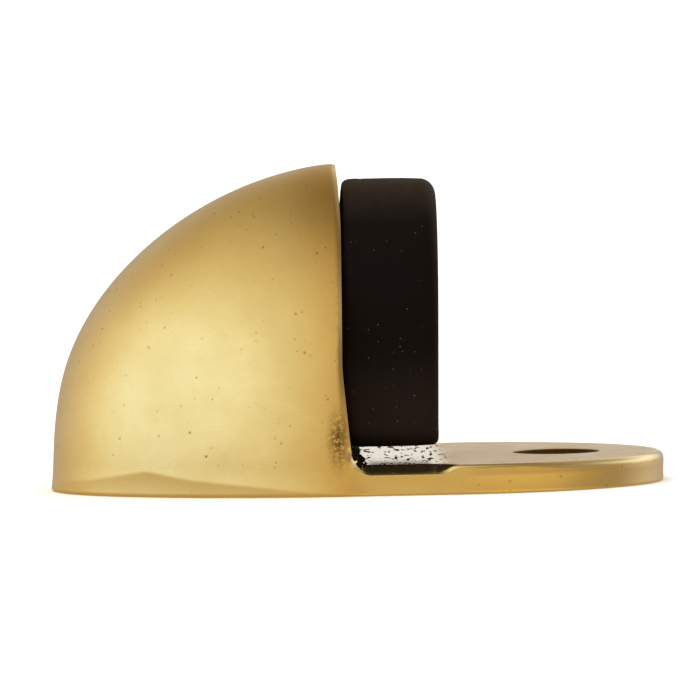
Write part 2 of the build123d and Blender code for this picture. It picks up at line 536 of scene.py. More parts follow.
    def rim(self) -> dict[str, np.ndarray]:
        """The worked edge from the crown's top, down the face, round the root and to the tip.

        Its section has a height, along the upper surface's normal, and a width, in from the side:
        a bevel on the face and under the rubber, and a small round further along the tongue.

        Returns:
            For each sample, where the edge leaves the side ("outer"), the side's outward normal,
            the upper surface's normal ("upper"), the section's height, width and flatness, and
            where it meets the upper surface ("inner").
        """
        x, z, tilt = self.root.trace()
        grow = eased(tilt / (math.pi / 2))
        height = self.arch_bevel[0] + (self.shelter_bevel[0] - self.arch_bevel[0]) * grow
        width = self.arch_bevel[1] + (self.shelter_bevel[1] - self.arch_bevel[1]) * grow
        edge_x, edge_z = x - height * np.cos(tilt), z - height * np.sin(tilt)
        shares = self.crown_shares(self.crown_steps)[::-1]
        level = self.base_z + (self.top_z - self.base_z) * self.fall(shares)
        arch_x = np.interp(level, edge_z[::-1], edge_x[::-1])
        arch = self.side_point(arch_x, shares)
        arch_tilt = np.interp(level, edge_z[::-1], tilt[::-1])
        arch_height = np.interp(level, edge_z[::-1], height[::-1])
        arch_width = np.interp(level, edge_z[::-1], width[::-1])
        arch_side = self.crown_normal(arch)
        wide = self.half_width - self.draft
        root_tilt = np.linspace(arch_tilt[-1], math.pi / 2, self.rim_ring_steps * 2 + 1)[1:]
        root_x = np.interp(root_tilt, tilt, edge_x)
        root_z = np.interp(root_tilt, tilt, edge_z)
        root_height = np.interp(root_tilt, tilt, height)
        root_width = np.interp(root_tilt, tilt, width)
        run_x = np.linspace(root_x[-1], self.tip_centre, self.straight_steps + 1)[1:]
        turn = np.linspace(0.0, math.pi / 2, self.tip_steps + 1)[1:]
        long = self.tip_length - self.draft
        tip = np.stack([self.tip_centre + long * np.sin(turn), wide * np.cos(turn)], axis=-1)
        tip_side = np.stack([np.sin(turn) / long, np.cos(turn) / wide, 0 * turn], axis=-1)
        tip_side /= np.linalg.norm(tip_side, axis=-1, keepdims=True)
        flat_x = np.concatenate([run_x, tip[:, 0]])
        taper = eased((flat_x - self.bevel_ends[0]) / (self.bevel_ends[1] - self.bevel_ends[0]))
        tip_start, tip_end = self.tip_edge_grows
        tip_grow = eased((flat_x - tip_start) / (tip_end - tip_start))
        plain = self.tongue_edge + (self.tip_edge - self.tongue_edge) * tip_grow
        flat_height = self.shelter_bevel[0] * (1 - taper) + plain * taper
        flat_width = self.shelter_bevel[1] * (1 - taper) + plain * taper
        flat_y = np.concatenate([0 * run_x + wide, tip[:, 1]])
        outer = np.concatenate([
            arch,
            np.stack([root_x, 0 * root_x + wide, root_z], axis=-1),
            np.stack([flat_x, flat_y, self.base_z - flat_height], axis=-1),
        ])
        straight = len(root_x) + len(run_x)
        side = np.concatenate([arch_side, np.tile([0.0, 1.0, 0.0], (straight, 1)), tip_side])
        flat = np.full(len(run_x) + len(turn), math.pi / 2)
        tilts = np.concatenate([arch_tilt, root_tilt, flat])
        heights = np.concatenate([arch_height, root_height, flat_height])
        widths = np.concatenate([arch_width, root_width, flat_width])
        bevelled = np.ones(len(arch) + len(root_x))
        flatness = self.bevel_flatness * np.concatenate([bevelled, 1 - taper])
        upper = np.stack([np.cos(tilts), 0 * tilts, np.sin(tilts)], axis=-1)
        inner = outer + heights[:, None] * upper - widths[:, None] * side
        return {
            "outer": outer, "side": side, "upper": upper, "inner": inner,
            "height": heights[:, None], "width": widths[:, None], "flatness": flatness[:, None],
        }

    def crown_normal(self, points: np.ndarray) -> np.ndarray:
        """The crown's outward normal within an upright slice, less the foot's extra fullness.

        Args:
            points: Points of the crown, at positive Y.

        Returns:
            The unit normals.
        """
        long, wide = self.semi_axes(self.draft)
        behind = np.maximum(self.face_x - points[:, 0], 0.0) / long
        out = np.maximum(np.hypot(behind, points[:, 1] / wide), 1e-6)
        rise = np.clip((points[:, 2] - self.base_z) / (self.top_z - self.base_z), 0.0, 1.0)
        p, q = self.crown_power_along, self.crown_power_up
        normal_y = p * out ** (p - 2) * points[:, 1] / wide**2
        normal_z = q * rise ** (q - 1) / (self.top_z - self.base_z)
        normal = np.stack([0 * normal_y, normal_y, normal_z], axis=-1)
        return normal / np.linalg.norm(normal, axis=-1, keepdims=True)

    def rim_strip(self, rim: dict[str, np.ndarray]) -> np.ndarray:
        """The worked edge: a section between a quarter ellipse and a straight bevel, on the rim.

        Args:
            rim: What the rim method returns.

        Returns:
            Rows over the edge, by samples along it.
        """
        share = np.linspace(0.0, 1.0, self.rim_steps + 1)[:, None, None]
        turn = share * math.pi / 2
        flatness = rim["flatness"][None]
        inwards = (1 - np.cos(turn)) * (1 - flatness) + share * flatness
        upwards = np.sin(turn) * (1 - flatness) + share * flatness
        inwards = inwards * rim["width"][None] * rim["side"][None]
        return rim["outer"][None] - inwards + upwards * rim["height"][None] * rim["upper"][None]

    def arch_band(self, rim: dict[str, np.ndarray]) -> np.ndarray:
        """The shield's side from the back wall's slice forward to the worked edge, above the base.

        Args:
            rim: What the rim method returns.

        Returns:
            Rows up the crown, by columns forward.
        """
        shares = self.crown_shares(self.crown_steps)
        edge = rim["outer"][: self.crown_steps + 1][::-1]
        steps = np.linspace(0.0, 1.0, self.band_steps + 1)
        x = self.back_x + (edge[:, :1] - self.back_x) * steps[None]
        return self.side_point(x, shares[:, None])

    def base_side(self, rim: dict[str, np.ndarray]) -> np.ndarray:
        """The base's upright edge from the back wall's slice forward and round to the tip.

        Args:
            rim: What the rim method returns.

        Returns:
            Rows up the edge, by columns forward.
        """
        inset, z = self.skirt()
        edge = rim["outer"][self.crown_steps :]
        steps = np.linspace(0.0, 1.0, self.band_steps + 1)[:-1]
        start_x = self.back_x + (edge[0, 0] - self.back_x) * steps
        run_count = len(edge) - self.tip_steps
        x = np.concatenate([start_x, edge[:run_count, 0]])
        top = np.concatenate([np.full(len(start_x), self.base_z), edge[:run_count, 2]])
        long, wide = self.semi_axes(inset[:, None])
        behind = np.maximum(self.face_x - x[None], 0.0) / long
        y = wide * np.sqrt(1 - behind**2)
        height = z[:, None] / self.base_z
        flank = np.stack([0 * y + x[None], y, height * top[None]], axis=-1)
        turn = np.linspace(0.0, math.pi / 2, self.tip_steps + 1)[None, 1:]
        tip_x = self.tip_centre + (self.tip_length - inset[:, None]) * np.sin(turn)
        tip_y = wide * np.cos(turn)
        tip_z = height * edge[None, run_count:, 2] + 0 * tip_x
        return np.concatenate([flank, np.stack([tip_x, tip_y, tip_z], axis=-1)], axis=1)

    # Inside shape ----------------------------------------------------------------------

    def hollow(self, rows: int) -> np.ndarray:
        """The inside of the shield: an upright wall, then a smaller crown.

        Args:
            rows: How many strips lie between the floor and the hollow's top.

        Returns:
            Rows up the hollow, by columns round the back wall's middle.
        """
        turn = np.linspace(-math.pi / 2, -3 * math.pi / 2, self.turn_steps + 1)
        long = self.back_x - self.rear_x - self.wall
        wide = self.half_width - self.wall
        rise = self.top_z - self.base_z - self.wall
        wall_z = np.linspace(0.0, self.base_z, self.inner_wall_steps + 1)
        shares = self.crown_shares(rows - self.inner_wall_steps)[1:]
        share = np.concatenate([np.ones(len(wall_z)), shares])[:, None]
        z = np.concatenate([wall_z, self.base_z + rise * self.fall(shares)])[:, None]
        reach = 1 / np.hypot(np.cos(turn) / long, np.sin(turn) / wide)[None]
        x = self.back_x + share * reach * np.cos(turn)
        y = share * reach * np.sin(turn)
        return np.stack([x, y, z + 0 * x], axis=-1)

    def across(self, outline: float) -> np.ndarray:
        """Shares across the width for rows of the base: the rim, the hollow's mouth, the rim.

        Args:
            outline: The foot's half width where the hollow's mouth is widest.

        Returns:
            The shares, from 0 on one side to 1 on the other.
        """
        rim = (outline - (self.half_width - self.wall)) / (2 * outline)
        near = np.linspace(0.0, rim, self.rim_ring_steps + 1)
        mouth = np.linspace(rim, 1 - rim, self.mouth_steps + 1)[1:-1]
        return np.concatenate([near, mouth, 1 - near[::-1]])

    def loop(self, edge: np.ndarray, shares: np.ndarray) -> np.ndarray:
        """A closed loop: along one edge, back along its mirror image, and straight across.

        Args:
            edge: Points at negative Y whose last lies on the plane of symmetry.
            shares: Shares across the width for the closing line.

        Returns:
            The loop's points, each once.
        """
        other = mirrored(edge[:-1][::-1])
        closing = between(other[-1:], edge[:1], shares[1:-1])[:, 0]
        return np.concatenate([edge, other, closing])

    def rings(self, start: np.ndarray, end: np.ndarray, centre: np.ndarray, axis: np.ndarray,
              section: np.ndarray, spread: int) -> np.ndarray:
        """A flat patch in to a hole, the hole's wall, and a flat patch out on the other side.

        Args:
            start: The loop that bounds the first patch.
            end: The loop that bounds the last patch, with as many points.
            centre: A point on the hole's axis.
            axis: The axis's direction, along X or Z.
            section: The wall's section: radius, and place along the axis, for each ring.
            spread: Rings in each flat patch.

        Returns:
            Rings by points by three.
        """
        flat = 1 - axis
        away = (start - centre) * flat
        away /= np.linalg.norm(away, axis=1, keepdims=True)
        wall = centre * flat + section[:, :1, None] * away[None] + section[:, 1:2, None] * axis
        shares = np.linspace(0.0, 1.0, spread + 1)
        first = between(start, wall[0], shares)
        last = between(wall[-1], end, shares)
        return np.concatenate([first, wall[1:-1], last])

    # Assembly --------------------------------------------------------------------------

    def build(self) -> bpy.types.Object:
        """Returns the casting as one welded mesh."""
        skin = Skin()
        rim = self.rim()
        skin.add(self.facet(self.shield_back()))
        band = self.arch_band(rim)
        base = self.base_side(rim)
        strip = self.rim_strip(rim)
        for side in Side:
            turn = np.array([1.0, side.value, 1.0])
            skin.add(self.facet(band * turn))
            skin.add(self.facet(base * turn))
            # The rim mark paints a highlight on the rubbed edge. The last mark paints shade into the root
            # under the rubber.
            skin.add(strip * turn, rim=self.rubbed(strip), dirt=self.packed(strip))
        shares = self.across(self.facet(base)[0, 0, 1])
        inner = mirrored(rim["inner"])
        start_height = self.root.trace()[1][0]
        face_end = int(np.sum(rim["outer"][:, 2] > start_height + self.face_overlap))
        tongue_start = int(np.argmax(inner[:, 0] > self.hole_x - self.sheltered_run))
        self.add_face(skin, inner[:face_end], shares)
        rows = inner[face_end - 1 : tongue_start + 1]
        sheltered = between(rows, mirrored(rows), shares)
        # The last mark paints shade into the root under the rubber.
        skin.add(sheltered, polished=self.sheltered(sheltered), dirt=self.packed(sheltered))
        self.add_base(skin, base, inner[tongue_start:], tongue_start, shares)
        skin.points = [self.worn(points) for points in skin.points]
        return skin.weld("brass_casting")

    def sheltered(self, points: np.ndarray) -> np.ndarray:
        """The share of shelter under the rubber, which keeps the tongue's polish.

        Args:
            points: The points of a patch.

        Returns:
            The shares, from 0 to 1.
        """
        x, y = points[..., 0], np.abs(points[..., 1])
        along = past(x, self.shelter_back) * short_of(x, self.shelter_front)
        return along * short_of(y, self.shelter_side)

    def rubbed(self, points: np.ndarray) -> np.ndarray:
        """Returns how smooth the worked edge is rubbed and how bright its painted highlight is: most under
        the rubber.
        """
        return 1.0 - self.rub_loss * past(points[..., 2] - self.base_z, self.rub_rise)

    def packed(self, points: np.ndarray) -> np.ndarray:
        """The share of the root under the rubber that is painted dark, as painted shade.

        Args:
            points: The points of a patch.

        Returns:
            The shares, from 0 to 1.
        """
        x, y, z = points[..., 0], np.abs(points[..., 1]), points[..., 2]
        share = short_of(x, self.root_shade_front) * past(x, self.root_shade_back) * short_of(z, self.root_shade_top)
        return share * short_of(y, self.root_shade_side)

    def add_face(self, skin: Skin, arch: np.ndarray, shares: np.ndarray) -> None:
        """Adds the face, the fixing's hole, the inner side of the face wall and the hollow.

        Args:
            skin: What is added to.
            arch: The face's edge at negative Y, from the crown's top down to the flare.
            shares: Shares across the width.
        """
        rows = len(arch) - 1 + self.rim_ring_steps
        hollow = self.hollow(rows)
        skin.add(hollow, cast=1.0)
        outer = self.loop(arch[::-1], shares)
        mouth = np.linspace(0.0, 1.0, self.mouth_steps + 1)
        wall = self.loop(hollow[:, 0], mouth)
        centre = np.array([0.0, 0.0, self.fixing_z])
        section = np.array([[self.fixing_radius, self.face_x], [self.fixing_radius, self.back_x]])
        along = np.array([1.0, 0.0, 0.0])
        wall = np.roll(wall, -self.rim_ring_steps, axis=0)
        grid = self.rings(outer, wall, centre, along, section, self.face_rings)
        cast = np.zeros(grid.shape[:2])
        cast[self.face_rings + 1 :] = 1.0
        skin.add(grid, closed=True, cast=cast)

    def add_base(self, skin: Skin, base: np.ndarray, top: np.ndarray, first: int,
                 shares: np.ndarray) -> None:
        """Adds the tongue's top, the countersunk hole and the underside.

        Args:
            skin: What is added to.
            base: The base's upright edge at positive Y.
            top: The tongue top's edge at negative Y, from first to the tip.
            first: Index of top's first sample along the rim.
            shares: Shares across the width.
        """
        column = self.band_steps + first - self.crown_steps
        floor = mirrored(self.facet(base)[0])
        start = self.loop(top, shares)
        end = self.loop(floor[column:], shares)
        lip = np.linspace(0.0, math.radians(self.sink_half_degrees), self.lip_steps + 1)
        lip_radius = self.sink_radius + self.sink_lip * (1 - np.sin(lip))
        lip_z = self.base_z - self.sink_lip * (1 - np.cos(lip))
        lip_section = np.stack([lip_radius, lip_z], axis=-1)
        depth = lip_section[-1, 0] - self.hole_radius
        steps = np.linspace(0.0, 1.0, self.cone_steps + 1)[1:, None]
        cone_end = np.array([[self.hole_radius, lip_section[-1, 1] - depth]])
        cone = lip_section[-1:] * (1 - steps) + cone_end * steps
        wall = np.array([[self.hole_radius, self.hole_land], [self.hole_radius, 0.0]])
        section = np.concatenate([lip_section, cone, wall])
        centre = np.array([self.hole_x, 0.0, 0.0])
        upright = np.array([0.0, 0.0, 1.0])
        grid = self.rings(start, end, centre, upright, section, self.tongue_rings)
        # Painted shade: from the cone down, the countersink is marked as cast and so painted dark.
        cast = np.zeros(grid.shape[:2])
        cast[self.tongue_rings + self.lip_steps :] = 1.0
        polished = self.sheltered(grid) * (grid[..., 2] > self.base_z - self.top_tolerance)
        skin.add(grid, closed=True, cast=cast, polished=polished)
        flat = floor[: column + 1]
        skin.add(between(flat, mirrored(flat), shares), cast=1.0)
        outline = self.facet(self.shield_back()[:1])[0]
        mouth = self.hollow(self.inner_wall_steps + 2)[0]
        rim_rows = between(outline, mouth, np.linspace(0.0, 1.0, self.rim_ring_steps + 1))
        skin.add(rim_rows, cast=1.0)


# ---- The rubber buffer ----


@dataclass
class Buffer:
    """The moulded rubber block: an arch with a flat foot, recessed in front for the screw.

    Its outline is a straight foot, two rounded corners, two straight sides and a half circle. The
    section is carried along the outline, each point moving in along the outline's own normal.
    """

    root: RootCurve
    corner: float = 2.3
    back_bevel: float = 0.7
    back_bevel_run: float = 1.2
    front_edge: float = 2.2
    foot_edge: float = 0.95
    recess_radius: float = 6.0
    recess_depth: float = 5.0
    recess_lip: float = 0.4
    hole_radius: float = 2.15
    fixing_z: float = FIXING_Z
    bulge: float = 0.10
    gap: float = 0.05
    top_gap: float = 0.32
    top_gap_gate: Gate = (29.0, 9.0)
    ridge: tuple[float, float, float] = (0.035, 1.75, 0.12)
    groove: tuple[float, float, float] = (0.03, 2.4, 0.15)
    floor_ring: float = 4.0
    outline_foot_steps: int = 40
    corner_steps: int = 12
    side_steps: int = 30
    arch_steps: int = 120
    back_steps: int = 4
    flank_steps: int = 60
    front_steps: int = 10
    lip_steps: int = 4
    recess_steps: int = 7
    ring_steps: int = 12

    def __post_init__(self) -> None:
        """Reads the block's size from the frame."""
        low, high = box_mm(Node.BUFFER)
        self.back_x, self.front_x = low[0], high[0]
        self.half_width = high[1]
        self.foot_z, self.top_z = low[2], high[2]

    def outline(self) -> tuple[np.ndarray, np.ndarray]:
        """The block's outline seen from the front, once round.

        Returns:
            The points, and the outward normals, as Y and Z.
        """
        wide, corner = self.half_width, self.corner
        spring_z = self.top_z - wide
        foot = np.linspace(-1.0, 1.0, self.outline_foot_steps + 1)[:-1] * (wide - corner)
        turn = np.linspace(-math.pi / 2, 0.0, self.corner_steps + 1)[:-1]
        rise = np.linspace(self.foot_z + corner, spring_z, self.side_steps + 1)[:-1]
        arch = np.linspace(0.0, math.pi, self.arch_steps + 1)[:-1]
        fall = rise[::-1] + (rise[1] - rise[0])
        last = np.linspace(-math.pi, -math.pi / 2, self.corner_steps + 1)[:-1]
        corner_z = self.foot_z + corner
        parts = [
            (foot, 0 * foot + self.foot_z, 0 * foot, 0 * foot - 1),
            (wide - corner + corner * np.cos(turn), corner_z + corner * np.sin(turn),
             np.cos(turn), np.sin(turn)),
            (0 * rise + wide, rise, 0 * rise + 1, 0 * rise),
            (wide * np.cos(arch), spring_z + wide * np.sin(arch), np.cos(arch), np.sin(arch)),
            (0 * fall - wide, fall, 0 * fall - 1, 0 * fall),
            (corner - wide + corner * np.cos(last), corner_z + corner * np.sin(last),
             np.cos(last), np.sin(last)),
        ]
        y, z, normal_y, normal_z = (np.concatenate(columns) for columns in zip(*parts))
        return np.stack([y, z], axis=-1), np.stack([normal_y, normal_z], axis=-1)

    def section(self, low: np.ndarray) -> tuple[np.ndarray, np.ndarray]:
        """How far in and how far forward each row of the block's flank lies.

        Args:
            low: For each outline point, 1 along the foot and 0 on the sides and arch.

        Returns:
            The insets and the X places, rows by outline points.
        """
        ones = np.ones_like(low)[None]
        bevel = np.linspace(0.0, 1.0, self.back_steps + 1)[:, None]
        back_inset = self.back_bevel * (1 - np.sin(bevel * math.pi / 2)) * ones
        back_x = self.back_x + self.back_bevel_run * (1 - np.cos(bevel * math.pi / 2)) * ones
        edge = self.front_edge + (self.foot_edge - self.front_edge) * low[None]
        start = self.back_x + self.back_bevel_run
        share = np.linspace(0.0, 1.0, self.flank_steps + 1)[1:-1, None]
        side_x = start + (self.front_x - edge - start) * share
        depth = side_x - self.back_x
        mould_line = self.bump(depth, self.ridge) - self.bump(depth, self.groove)
        side_inset = self.bulge * (2 * share - 1) ** 2 * share * ones - mould_line
        turn = np.linspace(0.0, math.pi / 2, self.front_steps + 1)[:, None]
        front_inset = edge * (1 - np.cos(turn)) + self.bulge * (1 - np.sin(turn))
        front_x = self.front_x - edge * (1 - np.sin(turn))
        inset = np.concatenate([back_inset, side_inset, front_inset])
        return inset, np.concatenate([back_x, side_x, front_x])

    def bump(self, depth: np.ndarray, line: tuple[float, float, float]) -> np.ndarray:
        """Returns a bell-shaped line's height by depth, from its height, middle and breadth."""
        height, middle, breadth = line
        return height * np.exp(-(((depth - middle) / breadth) ** 2))

    def build(self) -> bpy.types.Object:
        """Returns the block as one welded mesh, closed through its screw hole."""
        line, normal = self.outline()
        low = eased(-normal[:, 1])
        inset, x = self.section(low)
        y = line[None, :, 0] - inset * normal[None, :, 0]
        z = line[None, :, 1] - inset * normal[None, :, 1]
        flank = np.stack([x, y, z], axis=-1)
        centre = np.array([0.0, 0.0, self.fixing_z])
        away = np.column_stack([0 * line[:, 0], line[:, 0], line[:, 1] - self.fixing_z])
        away /= np.linalg.norm(away, axis=1, keepdims=True)
        turn = np.linspace(0.0, math.pi / 2, self.lip_steps + 1)
        lip = np.stack([
            self.recess_radius + self.recess_lip * (1 - np.sin(turn)),
            self.front_x - self.recess_lip * (1 - np.cos(turn)),
        ], axis=-1)
        floor_x = self.front_x - self.recess_depth
        steps = np.linspace(0.0, 1.0, self.recess_steps + 1)[1:]
        wall_x = lip[-1, 1] + (floor_x - lip[-1, 1]) * steps
        wall = np.stack([0 * steps + self.recess_radius, wall_x], axis=-1)
        floor = np.array([[self.floor_ring, floor_x], [self.hole_radius, floor_x]])
        bore = np.array([[self.hole_radius, 0.0], [self.hole_radius, self.back_x]])
        section = np.concatenate([lip, wall, floor, bore])
        hole = centre + section[:, :1, None] * away + section[:, 1:2, None] * np.array([1.0, 0.0, 0.0])
        shares = np.linspace(0.0, 1.0, self.ring_steps + 1)
        front = between(flank[-1], hole[0], shares)[1:-1]
        back = between(hole[-1], flank[0], shares)[1:]
        grid = np.concatenate([flank, front, hole, back])
        ahead = (self.front_x - grid[..., 0]) / (self.front_x - self.back_x)
        stand_off = self.gap + self.top_gap * past(grid[..., 2], self.top_gap_gate)
        grid[..., 0] += (self.root.push(grid[..., 2]) + stand_off) * np.clip(ahead, 0.0, 1.0)
        grid[..., 0] += FACE_LEAN * (grid[..., 2] - LEAN_FROM)
        skin = Skin()
        skin.add(grid, closed=True)
        return skin.weld("rubber_block")


# ---- The fixing ----


@dataclass
class Screw:
    """The pan-head machine screw, with a rolled thread and a cross drive.

    The shank's radius is the mean radius plus a rounded wave of the distance along it less the
    turn, which makes a right-hand helix. The head is a profile turned about the same axis.
    """

    pitch: float = 0.7
    major: float = 2.0
    minor: float = 1.62
    head_radius: float = 4.0
    head_height: float = 2.4
    head_edge: float = 1.0
    cross_half_length: float = 2.2
    cross_depth: float = 1.4
    fixing_z: float = FIXING_Z
    plain: float = 4.5
    plain_radius: float = 1.9
    tip_radius: float = 1.35
    crest_fullness: float = 1.15
    head_corner: float = 0.25
    head_level: float = 0.96
    head_crown: float = 0.04
    cross_taper: float = 0.45
    cross_narrowing: float = 0.2
    cross_half_degrees: float = 11.25
    columns: int = 96
    pitch_steps: int = 10
    edge_steps: int = 8
    top_steps: int = 8
    drive_steps: int = 6

    def __post_init__(self) -> None:
        """Reads the screw's ends from the frame."""
        low, high = box_mm(Node.SCREW)
        self.tip_x = low[0]
        self.seat_x = high[0] - self.head_height

    def build(self) -> bpy.types.Object:
        """Returns the screw as one welded mesh."""
        turn = np.linspace(0.0, 2 * math.pi, self.columns, endpoint=False)[None]
        x = np.arange(self.tip_x, self.seat_x, self.pitch / self.pitch_steps)[:, None]
        wave = 0.5 + 0.5 * np.cos(2 * math.pi * (x / self.pitch) - turn)
        crest = eased(wave * self.crest_fullness)
        radius = self.minor + (self.major - self.minor) * crest
        fade_out = eased((self.seat_x - x) / self.plain * 2 - 1)
        radius = self.plain_radius + (radius - self.plain_radius) * fade_out
        radius = np.minimum(radius, self.tip_radius + (x - self.tip_x))
        closed = np.concatenate([0 * radius[:1], radius])
        shank = self.round_rows(closed, np.concatenate([x[:1], x]), turn)
        edge = np.linspace(0.0, math.pi / 2, self.edge_steps + 1)[:, None]
        side_r = np.array([[self.plain_radius], [self.head_radius - self.head_corner], [self.head_radius]])
        side_x = np.array([[self.seat_x], [self.seat_x], [self.seat_x + self.head_corner]])
        round_r = self.head_radius - self.head_edge * (1 - np.cos(edge))
        round_x = self.seat_x + self.head_height * self.head_level - self.head_edge * (1 - np.sin(edge))
        head = self.round_rows(np.concatenate([side_r, round_r]), np.concatenate([side_x, round_x]), turn)
        flat_r = self.head_radius - self.head_edge
        mouth = self.cross(turn, 0.0)
        steps = np.linspace(0.0, 1.0, self.top_steps + 1)[1:, None]
        top_r = flat_r + (mouth - flat_r) * steps
        crown = self.head_level + self.head_crown * (1 - (top_r / flat_r) ** 2)
        top_x = self.seat_x + self.head_height * crown
        drop = np.linspace(0.0, 1.0, self.drive_steps + 1)[1:, None]
        wall_r = np.concatenate([self.cross(turn, share) for share in drop])
        wall_x = top_x[-1:] - self.cross_depth * drop
        floor_r = wall_r[-1:] * np.array([[0.5], [0.0]])
        floor_x = wall_x[-1:].min() - np.array([[0.2], [0.35]]) + 0 * turn
        inside_r = np.concatenate([top_r, wall_r, floor_r])
        inside_x = np.concatenate([top_x, wall_x, floor_x])
        top = self.round_rows(inside_r, inside_x, turn)
        skin = Skin()
        skin.add(np.concatenate([shank, head, top]), closed=True)
        return skin.weld("threaded_screw", sharp_degrees=50.0)

    def cross(self, turn: np.ndarray, depth: float) -> np.ndarray:
        """The cross drive's outline: in each direction, the further of its two bars' edges.

        Args:
            turn: Directions about the axis.
            depth: The share of the drive's depth, which draws the bars' ends inwards.

        Returns:
            The outline's radius in each direction.
        """
        long = self.cross_half_length * (1 - self.cross_taper * depth)
        wide = self.cross_half_length * math.tan(math.radians(self.cross_half_degrees))
        wide = wide * (1 - self.cross_narrowing * depth)
        cosine = np.maximum(np.abs(np.cos(turn)), 1e-6)
        sine = np.maximum(np.abs(np.sin(turn)), 1e-6)
        one = np.minimum(long / cosine, wide / sine)
        other = np.minimum(long / sine, wide / cosine)
        return np.maximum(one, other)

    def round_rows(self, radius: np.ndarray, x: np.ndarray, turn: np.ndarray) -> np.ndarray:
        """Rows of points round the screw's axis.

        Args:
            radius: The radius of each point, or of each row.
            x: Its place along the axis.
            turn: Directions about the axis.

        Returns:
            Rows by directions by three.
        """
        wide = radius + 0 * turn
        y, z = wide * np.cos(turn), self.fixing_z + wide * np.sin(turn)
        return np.stack([x + 0 * wide, y, z], axis=-1)


# ---- Finishes ----


def emptied(owner: bpy.types.Material | bpy.types.World) -> bpy.types.NodeTree:
    """Switches on a material's or a world's nodes and clears them away.

    Args:
        owner: The material or the world.

    Returns:
        Its empty node tree.
    """
    owner.use_nodes = True
    owner.node_tree.nodes.clear()
    return owner.node_tree


